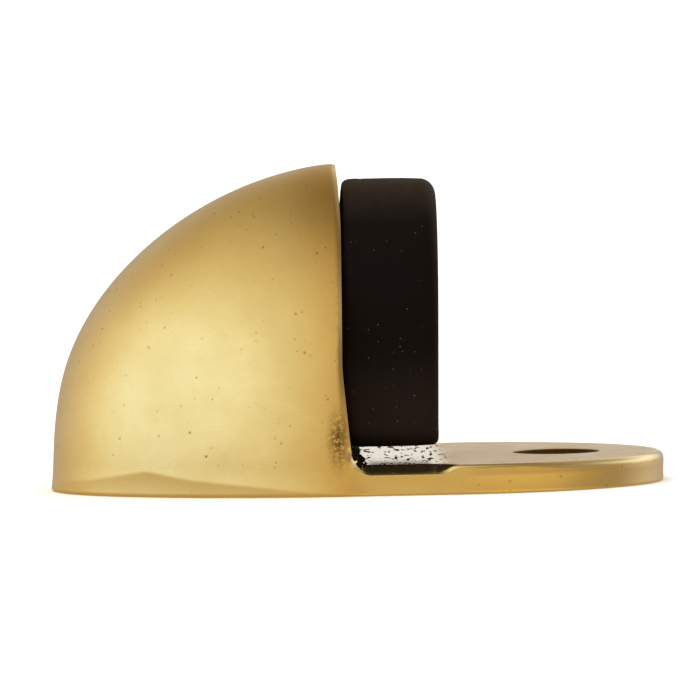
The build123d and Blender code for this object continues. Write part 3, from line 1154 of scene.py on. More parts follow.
@dataclass(frozen=True)
class BrassFinish:
    """Hand-finished cast brass: satin scratches, pits, cloudy tarnish, grime, crumbs of dirt, painted shade
    in the root under the rubber and beside the face, and a painted highlight on the rubbed edges.

    Lengths are in millimetres, colours are linear. Parts left as cast are dark and sandy, and the
    countersink is painted dark with them as painted shade.
    """

    name: str = "hand_finished_brass"
    light: Colour = (0.94, 0.75, 0.39, 1.0)
    deep: Colour = (0.89, 0.68, 0.32, 1.0)
    dark: Colour = (0.20, 0.12, 0.045, 1.0)
    pit: Colour = (0.27, 0.17, 0.065, 1.0)
    # Painted shade: this darker, redder colour tints the dome beside the face.
    painted_face_shade: Colour = (0.90, 0.63, 0.25, 1.0)
    # A paler colour on the rubbed rims: real wear and a painted highlight.
    edge: Colour = (1.0, 0.86, 0.55, 1.0)
    raw: Colour = (0.13, 0.082, 0.036, 1.0)
    # This dark colour serves the crumbs of dirt and the painted shade in the root.
    crumb: Colour = (0.030, 0.020, 0.013, 1.0)
    satin: float = 0.26
    grime_at: tuple[float, float, float] = (-3.0, -5.6, 2.5)

    def material(self) -> bpy.types.Material:
        """Writes the finish's nodes.

        Returns:
            The material.
        """
        made = bpy.data.materials.new(self.name)
        tree = emptied(made)
        nodes, links = tree.nodes, tree.links

        place = nodes.new("ShaderNodeTexCoord")
        place.label = "Place on the casting"
        scale = nodes.new("ShaderNodeMapping")
        scale.label = "Metres to millimetres"
        scale.inputs["Scale"].default_value = (1 / MM, 1 / MM, 1 / MM)
        links.new(place.outputs["Object"], scale.inputs["Vector"])
        rim = nodes.new("ShaderNodeAttribute")
        rim.label = "Rubbed rim, with a painted highlight"
        rim.attribute_name = Mark.RIM.value
        cast = nodes.new("ShaderNodeAttribute")
        cast.label = "Left as cast, with the countersink in painted shade"
        cast.attribute_name = Mark.CAST.value
        polished = nodes.new("ShaderNodeAttribute")
        polished.label = "Polished flat"
        polished.attribute_name = Mark.POLISHED.value
        # Painted shade: this mark is the root under the rubber, painted dark.
        dirt = nodes.new("ShaderNodeAttribute")
        dirt.label = "Painted root shade"
        dirt.attribute_name = Mark.DIRT.value

        along = nodes.new("ShaderNodeMapping")
        along.label = "Long level scratches"
        along.inputs["Rotation"].default_value = (0.0, math.radians(4.0), 0.0)
        along.inputs["Scale"].default_value = (0.7, 0.7, 9.0)
        links.new(scale.outputs["Vector"], along.inputs["Vector"])
        fine = nodes.new("ShaderNodeTexNoise")
        fine.label = "Fine scratches"
        fine.inputs["Scale"].default_value = 1.0
        fine.inputs["Detail"].default_value = 4.0
        fine.inputs["Roughness"].default_value = 0.65
        fine.inputs["Distortion"].default_value = 0.25
        links.new(along.outputs["Vector"], fine.inputs["Vector"])
        slanted = nodes.new("ShaderNodeMapping")
        slanted.label = "Slanting scratches"
        slanted.inputs["Rotation"].default_value = (0.0, math.radians(-38.0), 0.0)
        slanted.inputs["Scale"].default_value = (0.8, 0.8, 8.0)
        links.new(scale.outputs["Vector"], slanted.inputs["Vector"])
        cross = nodes.new("ShaderNodeTexNoise")
        cross.label = "Crossing scratches"
        cross.inputs["Scale"].default_value = 1.0
        cross.inputs["Detail"].default_value = 3.0
        cross.inputs["Roughness"].default_value = 0.6
        links.new(slanted.outputs["Vector"], cross.inputs["Vector"])
        scratches = nodes.new("ShaderNodeMix")
        scratches.label = "Both scratch layers"
        scratches.inputs["Factor"].default_value = 0.45
        links.new(fine.outputs["Fac"], scratches.inputs["A"])
        links.new(cross.outputs["Fac"], scratches.inputs["B"])

        wobble = nodes.new("ShaderNodeTexNoise")
        wobble.label = "Pits' ragged outline"
        wobble.inputs["Scale"].default_value = 3.0
        links.new(scale.outputs["Vector"], wobble.inputs["Vector"])
        ragged = nodes.new("ShaderNodeVectorMath")
        ragged.label = "Ragged place"
        ragged.operation = "MULTIPLY_ADD"
        ragged.inputs[1].default_value = (0.22, 0.22, 0.22)
        links.new(wobble.outputs["Color"], ragged.inputs[0])
        links.new(scale.outputs["Vector"], ragged.inputs[2])
        cells = nodes.new("ShaderNodeTexVoronoi")
        cells.label = "One pit to a cell"
        cells.inputs["Scale"].default_value = 1.05
        links.new(ragged.outputs["Vector"], cells.inputs["Vector"])
        lot = nodes.new("ShaderNodeSeparateColor")
        lot.label = "Each cell's lot"
        links.new(cells.outputs["Color"], lot.inputs["Color"])
        breadth = nodes.new("ShaderNodeMapRange")
        breadth.label = "Pit's breadth"
        breadth.inputs["To Min"].default_value = 0.11
        breadth.inputs["To Max"].default_value = 0.32
        links.new(lot.outputs["Green"], breadth.inputs["Value"])
        pit_shape = nodes.new("ShaderNodeMapRange")
        pit_shape.label = "Pit's edge"
        pit_shape.interpolation_type = "SMOOTHSTEP"
        pit_shape.inputs["From Max"].default_value = 0.02
        links.new(cells.outputs["Distance"], pit_shape.inputs["Value"])
        links.new(breadth.outputs["Result"], pit_shape.inputs["From Min"])
        chosen = nodes.new("ShaderNodeMapRange")
        chosen.label = "Some cells have a pit"
        chosen.inputs["From Min"].default_value = 0.35
        chosen.inputs["From Max"].default_value = 1.0
        chosen.inputs["To Max"].default_value = 0.9
        links.new(lot.outputs["Red"], chosen.inputs["Value"])
        crowd = nodes.new("ShaderNodeTexNoise")
        crowd.label = "Where pits crowd"
        crowd.inputs["Scale"].default_value = 0.22
        crowd.inputs["Detail"].default_value = 2.0
        links.new(scale.outputs["Vector"], crowd.inputs["Vector"])
        crowded = nodes.new("ShaderNodeMapRange")
        crowded.label = "Crowding"
        crowded.inputs["From Min"].default_value = 0.42
        crowded.inputs["From Max"].default_value = 0.58
        crowded.inputs["To Min"].default_value = 0.12
        links.new(crowd.outputs["Fac"], crowded.inputs["Value"])
        sparse = nodes.new("ShaderNodeMath")
        sparse.label = "Chosen and crowded"
        sparse.operation = "MULTIPLY"
        links.new(chosen.outputs["Result"], sparse.inputs[0])
        links.new(crowded.outputs["Result"], sparse.inputs[1])
        pits = nodes.new("ShaderNodeMath")
        pits.label = "Pits"
        pits.operation = "MULTIPLY"
        links.new(pit_shape.outputs["Result"], pits.inputs[0])
        links.new(sparse.outputs["Value"], pits.inputs[1])

        cloud = nodes.new("ShaderNodeTexNoise")
        cloud.label = "Cloudy patches"
        cloud.inputs["Scale"].default_value = 0.13
        cloud.inputs["Detail"].default_value = 5.0
        cloud.inputs["Roughness"].default_value = 0.62
        links.new(scale.outputs["Vector"], cloud.inputs["Vector"])
        tarnish = nodes.new("ShaderNodeMapRange")
        tarnish.label = "Tarnish"
        tarnish.inputs["From Min"].default_value = 0.32
        tarnish.inputs["From Max"].default_value = 0.68
        links.new(cloud.outputs["Fac"], tarnish.inputs["Value"])

        squeezed = nodes.new("ShaderNodeVectorMath")
        squeezed.label = "Narrow along, tall up"
        squeezed.operation = "MULTIPLY"
        squeezed.inputs[1].default_value = (1.0, 0.25, 0.36)
        links.new(scale.outputs["Vector"], squeezed.inputs[0])
        distance = nodes.new("ShaderNodeVectorMath")
        distance.label = "Distance from the smear"
        distance.operation = "DISTANCE"
        distance.inputs[1].default_value = self.grime_at
        links.new(squeezed.outputs["Vector"], distance.inputs[0])
        reach = nodes.new("ShaderNodeMapRange")
        reach.label = "Smear's reach"
        reach.interpolation_type = "SMOOTHSTEP"
        reach.inputs["From Min"].default_value = 1.9
        reach.inputs["From Max"].default_value = 0.0
        links.new(distance.outputs["Value"], reach.inputs["Value"])
        smear = nodes.new("ShaderNodeTexNoise")
        smear.label = "Broken smear"
        smear.inputs["Scale"].default_value = 2.4
        smear.inputs["Detail"].default_value = 6.0
        smear.inputs["Roughness"].default_value = 0.7
        links.new(scale.outputs["Vector"], smear.inputs["Vector"])
        broken = nodes.new("ShaderNodeMapRange")
        broken.label = "Specks of grime"
        broken.inputs["From Min"].default_value = 0.38
        broken.inputs["From Max"].default_value = 0.52
        links.new(smear.outputs["Fac"], broken.inputs["Value"])
        grime = nodes.new("ShaderNodeMath")
        grime.label = "Grime"
        grime.operation = "MULTIPLY"
        grime.use_clamp = True
        links.new(reach.outputs["Result"], grime.inputs[0])
        links.new(broken.outputs["Result"], grime.inputs[1])

        drawn_out = nodes.new("ShaderNodeMapping")
        drawn_out.label = "Drawn out across the width"
        drawn_out.inputs["Scale"].default_value = (1.0, 0.15, 1.0)
        links.new(scale.outputs["Vector"], drawn_out.inputs["Vector"])
        crumbs = nodes.new("ShaderNodeTexNoise")
        crumbs.label = "Crumbs of dirt"
        crumbs.inputs["Scale"].default_value = 1.7
        crumbs.inputs["Detail"].default_value = 1.5
        links.new(drawn_out.outputs["Vector"], crumbs.inputs["Vector"])
        crumb_edge = nodes.new("ShaderNodeMapRange")
        crumb_edge.label = "Crumbs' edges"
        crumb_edge.inputs["From Min"].default_value = 0.59
        crumb_edge.inputs["From Max"].default_value = 0.63
        links.new(crumbs.outputs["Fac"], crumb_edge.inputs["Value"])
        # Painted shade: the root under the rubber is painted dark, with a ragged edge from the crumbs.
        root_shade_fill = nodes.new("ShaderNodeMath")
        root_shade_fill.label = "Painted root shade fills up between the crumbs"
        root_shade_fill.operation = "MULTIPLY_ADD"
        root_shade_fill.inputs[1].default_value = 0.56
        links.new(dirt.outputs["Fac"], root_shade_fill.inputs[0])
        links.new(crumbs.outputs["Fac"], root_shade_fill.inputs[2])
        root_shade_edge = nodes.new("ShaderNodeMapRange")
        root_shade_edge.label = "Painted root shade's edge"
        root_shade_edge.inputs["From Min"].default_value = 0.84
        root_shade_edge.inputs["From Max"].default_value = 0.89
        links.new(root_shade_fill.outputs["Value"], root_shade_edge.inputs["Value"])
        kept = nodes.new("ShaderNodeMath")
        kept.label = "Crumbs only under the rubber"
        kept.operation = "MULTIPLY"
        links.new(crumb_edge.outputs["Result"], kept.inputs[0])
        links.new(polished.outputs["Fac"], kept.inputs[1])
        crumbs_and_root_shade = nodes.new("ShaderNodeMath")
        crumbs_and_root_shade.label = "Crumbs or painted root shade"
        crumbs_and_root_shade.operation = "MAXIMUM"
        links.new(kept.outputs["Value"], crumbs_and_root_shade.inputs[0])
        links.new(root_shade_edge.outputs["Result"], crumbs_and_root_shade.inputs[1])

        metal = nodes.new("ShaderNodeMix")
        metal.label = "Light and deep brass"
        metal.data_type = "RGBA"
        metal.inputs["A"].default_value = self.light
        metal.inputs["B"].default_value = self.deep
        links.new(tarnish.outputs["Result"], metal.inputs["Factor"])
        axes = nodes.new("ShaderNodeSeparateXYZ")
        axes.label = "Place along the length"
        links.new(scale.outputs["Vector"], axes.inputs["Vector"])
        # Painted shade: the dome just behind the face, but not the tongue, is tinted darker and redder.
        nearing = nodes.new("ShaderNodeMapRange")
        nearing.label = "Towards the face"
        nearing.inputs["From Min"].default_value = -9.0
        nearing.inputs["From Max"].default_value = -2.6
        links.new(axes.outputs["X"], nearing.inputs["Value"])
        passing = nodes.new("ShaderNodeMapRange")
        passing.label = "Not on the tongue"
        passing.inputs["From Min"].default_value = 0.5
        passing.inputs["From Max"].default_value = -1.8
        links.new(axes.outputs["X"], passing.inputs["Value"])
        painted_face_shade = nodes.new("ShaderNodeMath")
        painted_face_shade.label = "Beside the face"
        painted_face_shade.operation = "MULTIPLY"
        links.new(nearing.outputs["Result"], painted_face_shade.inputs[0])
        links.new(passing.outputs["Result"], painted_face_shade.inputs[1])
        warmer = nodes.new("ShaderNodeMix")
        warmer.label = "Painted shade beside the face"
        warmer.data_type = "RGBA"
        warmer.inputs["B"].default_value = self.painted_face_shade
        links.new(painted_face_shade.outputs["Value"], warmer.inputs["Factor"])
        links.new(metal.outputs["Result"], warmer.inputs["A"])
        # Painted highlight: the rubbed rims are painted paler, over their real wear.
        edges = nodes.new("ShaderNodeMix")
        edges.label = "Edges rubbed bright, with a painted highlight"
        edges.data_type = "RGBA"
        edges.inputs["B"].default_value = self.edge
        links.new(rim.outputs["Fac"], edges.inputs["Factor"])
        links.new(warmer.outputs["Result"], edges.inputs["A"])
        # Dark where left as cast. In the countersink this is painted shade.
        inside = nodes.new("ShaderNodeMix")
        inside.label = "Duller where left as cast, and painted shade in the countersink"
        inside.data_type = "RGBA"
        inside.inputs["B"].default_value = self.raw
        links.new(cast.outputs["Fac"], inside.inputs["Factor"])
        links.new(edges.outputs["Result"], inside.inputs["A"])
        pitted = nodes.new("ShaderNodeMix")
        pitted.label = "Dark pits"
        pitted.data_type = "RGBA"
        pitted.inputs["B"].default_value = self.pit
        links.new(pits.outputs["Value"], pitted.inputs["Factor"])
        links.new(inside.outputs["Result"], pitted.inputs["A"])
        # Painted shade in the root and the real crumbs get the dark colour here.
        darkened_by_crumbs_and_root_shade = nodes.new("ShaderNodeMix")
        darkened_by_crumbs_and_root_shade.label = "Crumbs and painted root shade are dark"
        darkened_by_crumbs_and_root_shade.data_type = "RGBA"
        darkened_by_crumbs_and_root_shade.inputs["B"].default_value = self.crumb
        links.new(crumbs_and_root_shade.outputs["Value"], darkened_by_crumbs_and_root_shade.inputs["Factor"])
        links.new(pitted.outputs["Result"], darkened_by_crumbs_and_root_shade.inputs["A"])
        soiled = nodes.new("ShaderNodeMix")
        soiled.label = "Grime over the brass"
        soiled.data_type = "RGBA"
        soiled.inputs["B"].default_value = self.dark
        links.new(grime.outputs["Value"], soiled.inputs["Factor"])
        links.new(darkened_by_crumbs_and_root_shade.outputs["Result"], soiled.inputs["A"])

        satin = nodes.new("ShaderNodeMapRange")
        satin.label = "Satin, by the scratches"
        satin.inputs["To Min"].default_value = self.satin - 0.07
        satin.inputs["To Max"].default_value = self.satin + 0.07
        links.new(scratches.outputs["Result"], satin.inputs["Value"])
        dulled = nodes.new("ShaderNodeMath")
        dulled.label = "Tarnish dulls it"
        dulled.operation = "MULTIPLY_ADD"
        dulled.inputs[1].default_value = 0.06
        links.new(tarnish.outputs["Result"], dulled.inputs[0])
        links.new(satin.outputs["Result"], dulled.inputs[2])
        flat = nodes.new("ShaderNodeMix")
        flat.label = "Polish kept under the rubber"
        flat.inputs["B"].default_value = 0.075
        links.new(polished.outputs["Fac"], flat.inputs["Factor"])
        links.new(dulled.outputs["Value"], flat.inputs["A"])
        rolled = nodes.new("ShaderNodeMix")
        rolled.label = "Worn rim"
        rolled.inputs["B"].default_value = 0.15
        links.new(rim.outputs["Fac"], rolled.inputs["Factor"])
        links.new(flat.outputs["Result"], rolled.inputs["A"])
        gritty = nodes.new("ShaderNodeMix")
        gritty.label = "Crumbs are dull"
        gritty.inputs["B"].default_value = 0.9
        links.new(crumbs_and_root_shade.outputs["Value"], gritty.inputs["Factor"])
        links.new(rolled.outputs["Result"], gritty.inputs["A"])
        coarse = nodes.new("ShaderNodeMix")
        coarse.label = "Rough where left as cast"
        coarse.inputs["B"].default_value = 0.62
        links.new(cast.outputs["Fac"], coarse.inputs["Factor"])
        links.new(gritty.outputs["Result"], coarse.inputs["A"])

        scratch_relief = nodes.new("ShaderNodeBump")
        scratch_relief.label = "Scratches' relief"
        scratch_relief.inputs["Distance"].default_value = 0.0000022
        links.new(scratches.outputs["Result"], scratch_relief.inputs["Height"])
        pit_relief = nodes.new("ShaderNodeBump")
        pit_relief.label = "Pits' relief"
        pit_relief.invert = True
        pit_relief.inputs["Distance"].default_value = 0.00003
        links.new(pits.outputs["Value"], pit_relief.inputs["Height"])
        links.new(scratch_relief.outputs["Normal"], pit_relief.inputs["Normal"])
        sand = nodes.new("ShaderNodeTexNoise")
        sand.label = "Sand grain"
        sand.inputs["Scale"].default_value = 1.8
        sand.inputs["Detail"].default_value = 4.0
        links.new(scale.outputs["Vector"], sand.inputs["Vector"])
        grain = nodes.new("ShaderNodeMath")
        grain.label = "Grain only where left as cast"
        grain.operation = "MULTIPLY"
        links.new(sand.outputs["Fac"], grain.inputs[0])
        links.new(cast.outputs["Fac"], grain.inputs[1])
        sand_relief = nodes.new("ShaderNodeBump")
        sand_relief.label = "Sand grain's relief"
        sand_relief.inputs["Distance"].default_value = 0.0002
        links.new(grain.outputs["Value"], sand_relief.inputs["Height"])
        links.new(pit_relief.outputs["Normal"], sand_relief.inputs["Normal"])

        shader = nodes.new("ShaderNodeBsdfPrincipled")
        shader.label = "Brass"
        shader.inputs["Metallic"].default_value = 1.0
        links.new(soiled.outputs["Result"], shader.inputs["Base Color"])
        links.new(coarse.outputs["Result"], shader.inputs["Roughness"])
        links.new(sand_relief.outputs["Normal"], shader.inputs["Normal"])
        output = nodes.new("ShaderNodeOutputMaterial")
        output.label = "Surface"
        links.new(shader.outputs["BSDF"], output.inputs["Surface"])

        effects = {
            "Where on the casting": (place, scale, rim, cast, polished, dirt),
            "Polishing scratches": (along, fine, slanted, cross, scratches),
            "Casting pits": (
                wobble, ragged, cells, lot, breadth, pit_shape, chosen, crowd, crowded, sparse,
                pits,
            ),
            "Cloudy tarnish": (cloud, tarnish),
            "Grime in the corner by the rubber": (squeezed, distance, reach, smear, broken, grime),
            "Crumbs and painted root shade under the rubber": (
                drawn_out, crumbs, crumb_edge, root_shade_fill, root_shade_edge, kept, crumbs_and_root_shade,
            ),
            "Colour": (
                metal, axes, nearing, passing, painted_face_shade, warmer, edges, inside, pitted, darkened_by_crumbs_and_root_shade,
                soiled,
            ),
            "Roughness": (satin, dulled, flat, rolled, gritty, coarse),
            "Relief": (scratch_relief, pit_relief, sand, grain, sand_relief),
            "Surface": (shader, output),
        }
        for row, (effect, members) in enumerate(effects.items()):
            group = nodes.new("NodeFrame")
            group.label = effect
            for column, member in enumerate(members):
                member.parent = group
                member.location = (NODE_COLUMN * column, -NODE_ROW * row)
        return made


@dataclass(frozen=True)
class RubberFinish:
    """Moulded black rubber, specked with dust, with painted light: browner at the top and paler at the
    foot.
    """

    name: str = "moulded_black_rubber"
    black: Colour = (0.0042, 0.0025, 0.0022, 1.0)
    # The foot's paler colour is painted light on the lower flank.
    painted_pale_foot: Colour = (0.0125, 0.0075, 0.0060, 1.0)
    # This browner colour is painted light on the arch's top, which catches the light from above.
    brown: Colour = (0.030, 0.019, 0.012, 1.0)
    dust: Colour = (0.16, 0.12, 0.09, 1.0)
    # Heights over which the top turns browner, as painted light.
    painted_top_light_from: float = 33.0
    painted_top_light_to: float = 38.5
    # Heights over which the lower flank turns paler, as painted light.
    painted_pale_foot_from: float = 19.0
    painted_pale_foot_to: float = 9.0

    def material(self) -> bpy.types.Material:
        """Writes the finish's nodes.

        Returns:
            The material.
        """
        made = bpy.data.materials.new(self.name)
        tree = emptied(made)
        nodes, links = tree.nodes, tree.links

        place = nodes.new("ShaderNodeTexCoord")
        place.label = "Place on the block"
        scale = nodes.new("ShaderNodeMapping")
        scale.label = "Metres to millimetres"
        scale.inputs["Scale"].default_value = (1 / MM, 1 / MM, 1 / MM)
        links.new(place.outputs["Object"], scale.inputs["Vector"])
        axes = nodes.new("ShaderNodeSeparateXYZ")
        axes.label = "Height and depth"
        links.new(scale.outputs["Vector"], axes.inputs["Vector"])

        cells = nodes.new("ShaderNodeTexVoronoi")
        cells.label = "One speck to a cell"
        cells.inputs["Scale"].default_value = 1.3
        links.new(scale.outputs["Vector"], cells.inputs["Vector"])
        speck_shape = nodes.new("ShaderNodeMapRange")
        speck_shape.label = "Speck's edge"
        speck_shape.inputs["From Min"].default_value = 0.13
        speck_shape.inputs["From Max"].default_value = 0.06
        links.new(cells.outputs["Distance"], speck_shape.inputs["Value"])
        lot = nodes.new("ShaderNodeSeparateColor")
        lot.label = "Each cell's lot"
        links.new(cells.outputs["Color"], lot.inputs["Color"])
        chosen = nodes.new("ShaderNodeMapRange")
        chosen.label = "Few cells have a speck"
        chosen.inputs["From Min"].default_value = 0.86
        chosen.inputs["From Max"].default_value = 1.0
        links.new(lot.outputs["Green"], chosen.inputs["Value"])
        specks = nodes.new("ShaderNodeMath")
        specks.label = "Specks"
        specks.operation = "MULTIPLY"
        links.new(speck_shape.outputs["Result"], specks.inputs[0])
        links.new(chosen.outputs["Result"], specks.inputs[1])

        # Painted light: the arch's top is painted browner, unevenly, where it catches the light.
        height = nodes.new("ShaderNodeMapRange")
        height.label = "Higher is browner"
        height.inputs["From Min"].default_value = self.painted_top_light_from
        height.inputs["From Max"].default_value = self.painted_top_light_to
        links.new(axes.outputs["Z"], height.inputs["Value"])
        patches = nodes.new("ShaderNodeTexNoise")
        patches.label = "Uneven painted top light and dullness"
        patches.inputs["Scale"].default_value = 0.35
        patches.inputs["Detail"].default_value = 5.0
        patches.inputs["Roughness"].default_value = 0.65
        links.new(scale.outputs["Vector"], patches.inputs["Vector"])
        worn = nodes.new("ShaderNodeMath")
        worn.label = "Painted light on the top"
        worn.operation = "MULTIPLY"
        links.new(height.outputs["Result"], worn.inputs[0])
        links.new(patches.outputs["Fac"], worn.inputs[1])
        # Painted light: the lower flank is painted paler towards the foot.
        lower = nodes.new("ShaderNodeMapRange")
        lower.label = "Lower is paler"
        lower.interpolation_type = "SMOOTHSTEP"
        lower.inputs["From Min"].default_value = self.painted_pale_foot_from
        lower.inputs["From Max"].default_value = self.painted_pale_foot_to
        links.new(axes.outputs["Z"], lower.inputs["Value"])
        foot = nodes.new("ShaderNodeMix")
        foot.label = "Painted pale foot"
        foot.data_type = "RGBA"
        foot.inputs["A"].default_value = self.black
        foot.inputs["B"].default_value = self.painted_pale_foot
        links.new(lower.outputs["Result"], foot.inputs["Factor"])
        # The painted light on the top goes over the black here.
        body = nodes.new("ShaderNodeMix")
        body.label = "Black to brown"
        body.data_type = "RGBA"
        body.inputs["B"].default_value = self.brown
        links.new(foot.outputs["Result"], body.inputs["A"])
        links.new(worn.outputs["Value"], body.inputs["Factor"])
        dusted = nodes.new("ShaderNodeMix")
        dusted.label = "Specks on top"
        dusted.data_type = "RGBA"
        dusted.inputs["B"].default_value = self.dust
        links.new(specks.outputs["Value"], dusted.inputs["Factor"])
        links.new(body.outputs["Result"], dusted.inputs["A"])

        dulling = nodes.new("ShaderNodeMapRange")
        dulling.label = "Uneven dullness"
        dulling.inputs["To Min"].default_value = 0.48
        dulling.inputs["To Max"].default_value = 0.72
        links.new(patches.outputs["Fac"], dulling.inputs["Value"])
        skin = nodes.new("ShaderNodeTexNoise")
        skin.label = "Moulded skin"
        skin.inputs["Scale"].default_value = 2.6
        skin.inputs["Detail"].default_value = 5.0
        links.new(scale.outputs["Vector"], skin.inputs["Vector"])
        relief = nodes.new("ShaderNodeBump")
        relief.label = "Skin's relief"
        relief.inputs["Distance"].default_value = 0.00004
        links.new(skin.outputs["Fac"], relief.inputs["Height"])
        speck_relief = nodes.new("ShaderNodeBump")
        speck_relief.label = "Specks stand up"
        speck_relief.inputs["Distance"].default_value = 0.00003
        links.new(specks.outputs["Value"], speck_relief.inputs["Height"])
        links.new(relief.outputs["Normal"], speck_relief.inputs["Normal"])

        shader = nodes.new("ShaderNodeBsdfPrincipled")
        shader.label = "Rubber"
        shader.inputs["Specular IOR Level"].default_value = 0.07
        links.new(dusted.outputs["Result"], shader.inputs["Base Color"])
        links.new(dulling.outputs["Result"], shader.inputs["Roughness"])
        links.new(speck_relief.outputs["Normal"], shader.inputs["Normal"])
        output = nodes.new("ShaderNodeOutputMaterial")
        output.label = "Surface"
        links.new(shader.outputs["BSDF"], output.inputs["Surface"])

        effects = {
            "Where on the block": (place, scale, axes),
            "Dust specks": (cells, speck_shape, lot, chosen, specks, dusted),
            "Painted top light and pale foot": (height, patches, worn, lower, foot, body),
            "Relief": (dulling, skin, relief, speck_relief),
            "Surface": (shader, output),
        }
        for row, (effect, members) in enumerate(effects.items()):
            group = nodes.new("NodeFrame")
            group.label = effect
            for column, member in enumerate(members):
                member.parent = group
                member.location = (NODE_COLUMN * column, -NODE_ROW * row)
        return made


@dataclass(frozen=True)
class SteelFinish:
    """Small steel fixings: a plated or oiled skin with handling wear and fine turning marks."""

    name: str
    bright: Colour
    dull: Colour
    smooth: float
    rough: float

    def material(self) -> bpy.types.Material:
        """Writes the finish's nodes.

        Returns:
            The material.
        """
        made = bpy.data.materials.new(self.name)
        tree = emptied(made)
        nodes, links = tree.nodes, tree.links

        place = nodes.new("ShaderNodeTexCoord")
        place.label = "Place on the fixing"
        scale = nodes.new("ShaderNodeMapping")
        scale.label = "Metres to millimetres"
        scale.inputs["Scale"].default_value = (1 / MM, 1 / MM, 1 / MM)
        links.new(place.outputs["Object"], scale.inputs["Vector"])
        stains = nodes.new("ShaderNodeTexNoise")
        stains.label = "Handling stains"
        stains.inputs["Scale"].default_value = 0.8
        stains.inputs["Detail"].default_value = 5.0
        stains.inputs["Roughness"].default_value = 0.6
        links.new(scale.outputs["Vector"], stains.inputs["Vector"])
        worn = nodes.new("ShaderNodeMapRange")
        worn.label = "Where it is worn"
        worn.inputs["From Min"].default_value = 0.35
        worn.inputs["From Max"].default_value = 0.65
        links.new(stains.outputs["Fac"], worn.inputs["Value"])
        skin = nodes.new("ShaderNodeMix")
        skin.label = "Bright to dull"
        skin.data_type = "RGBA"
        skin.inputs["A"].default_value = self.bright
        skin.inputs["B"].default_value = self.dull
        links.new(worn.outputs["Result"], skin.inputs["Factor"])
        dullness = nodes.new("ShaderNodeMapRange")
        dullness.label = "Smooth to rough"
        dullness.inputs["To Min"].default_value = self.smooth
        dullness.inputs["To Max"].default_value = self.rough
        links.new(worn.outputs["Result"], dullness.inputs["Value"])
        drawn = nodes.new("ShaderNodeMapping")
        drawn.label = "Stretched round the axis"
        drawn.inputs["Scale"].default_value = (9.0, 0.8, 0.8)
        links.new(scale.outputs["Vector"], drawn.inputs["Vector"])
        marks = nodes.new("ShaderNodeTexNoise")
        marks.label = "Turning marks"
        marks.inputs["Scale"].default_value = 1.0
        marks.inputs["Detail"].default_value = 3.0
        links.new(drawn.outputs["Vector"], marks.inputs["Vector"])
        relief = nodes.new("ShaderNodeBump")
        relief.label = "Marks' relief"
        relief.inputs["Distance"].default_value = 0.000008
        links.new(marks.outputs["Fac"], relief.inputs["Height"])
        shader = nodes.new("ShaderNodeBsdfPrincipled")
        shader.label = "Steel"
        shader.inputs["Metallic"].default_value = 1.0
        links.new(skin.outputs["Result"], shader.inputs["Base Color"])
        links.new(dullness.outputs["Result"], shader.inputs["Roughness"])
        links.new(relief.outputs["Normal"], shader.inputs["Normal"])
        output = nodes.new("ShaderNodeOutputMaterial")
        output.label = "Surface"
        links.new(shader.outputs["BSDF"], output.inputs["Surface"])

        effects = {
            "Where on the fixing": (place, scale),
            "Plated skin": (stains, worn, skin, dullness),
            "Turning marks": (drawn, marks, relief),
            "Surface": (shader, output),
        }
        for row, (effect, members) in enumerate(effects.items()):
            group = nodes.new("NodeFrame")
            group.label = effect
            for column, member in enumerate(members):
                member.parent = group
                member.location = (NODE_COLUMN * column, -NODE_ROW * row)
        return made


# ---- Studio ----


def away_from(azimuth: float, elevation: float) -> Vector:
    """Returns the direction from the object to a viewer: azimuth 0 is along -Y, 90 along +X."""
    turn, tilt = math.radians(azimuth), math.radians(elevation)
    return Vector((math.sin(turn) * math.cos(tilt), -math.cos(turn) * math.cos(tilt), math.sin(tilt)))


class Blend(Enum):
    """How a patch of light joins the light before it."""

    ADD = "ADD"
    MULTIPLY = "MULTIPLY"
    COVER = "MIX"


@dataclass(frozen=True)
class Patch:
    """One soft-edged round patch of the room's light.

    It spreads by the cosine of the angle from its middle: none_at is where it starts and full_at
    is where it is whole. On the floor it counts below the horizon only.
    """

    name: str
    towards: tuple[float, float]
    none_at: float
    full_at: float
    blend: Blend
    colour: Colour
    on_floor: bool = False


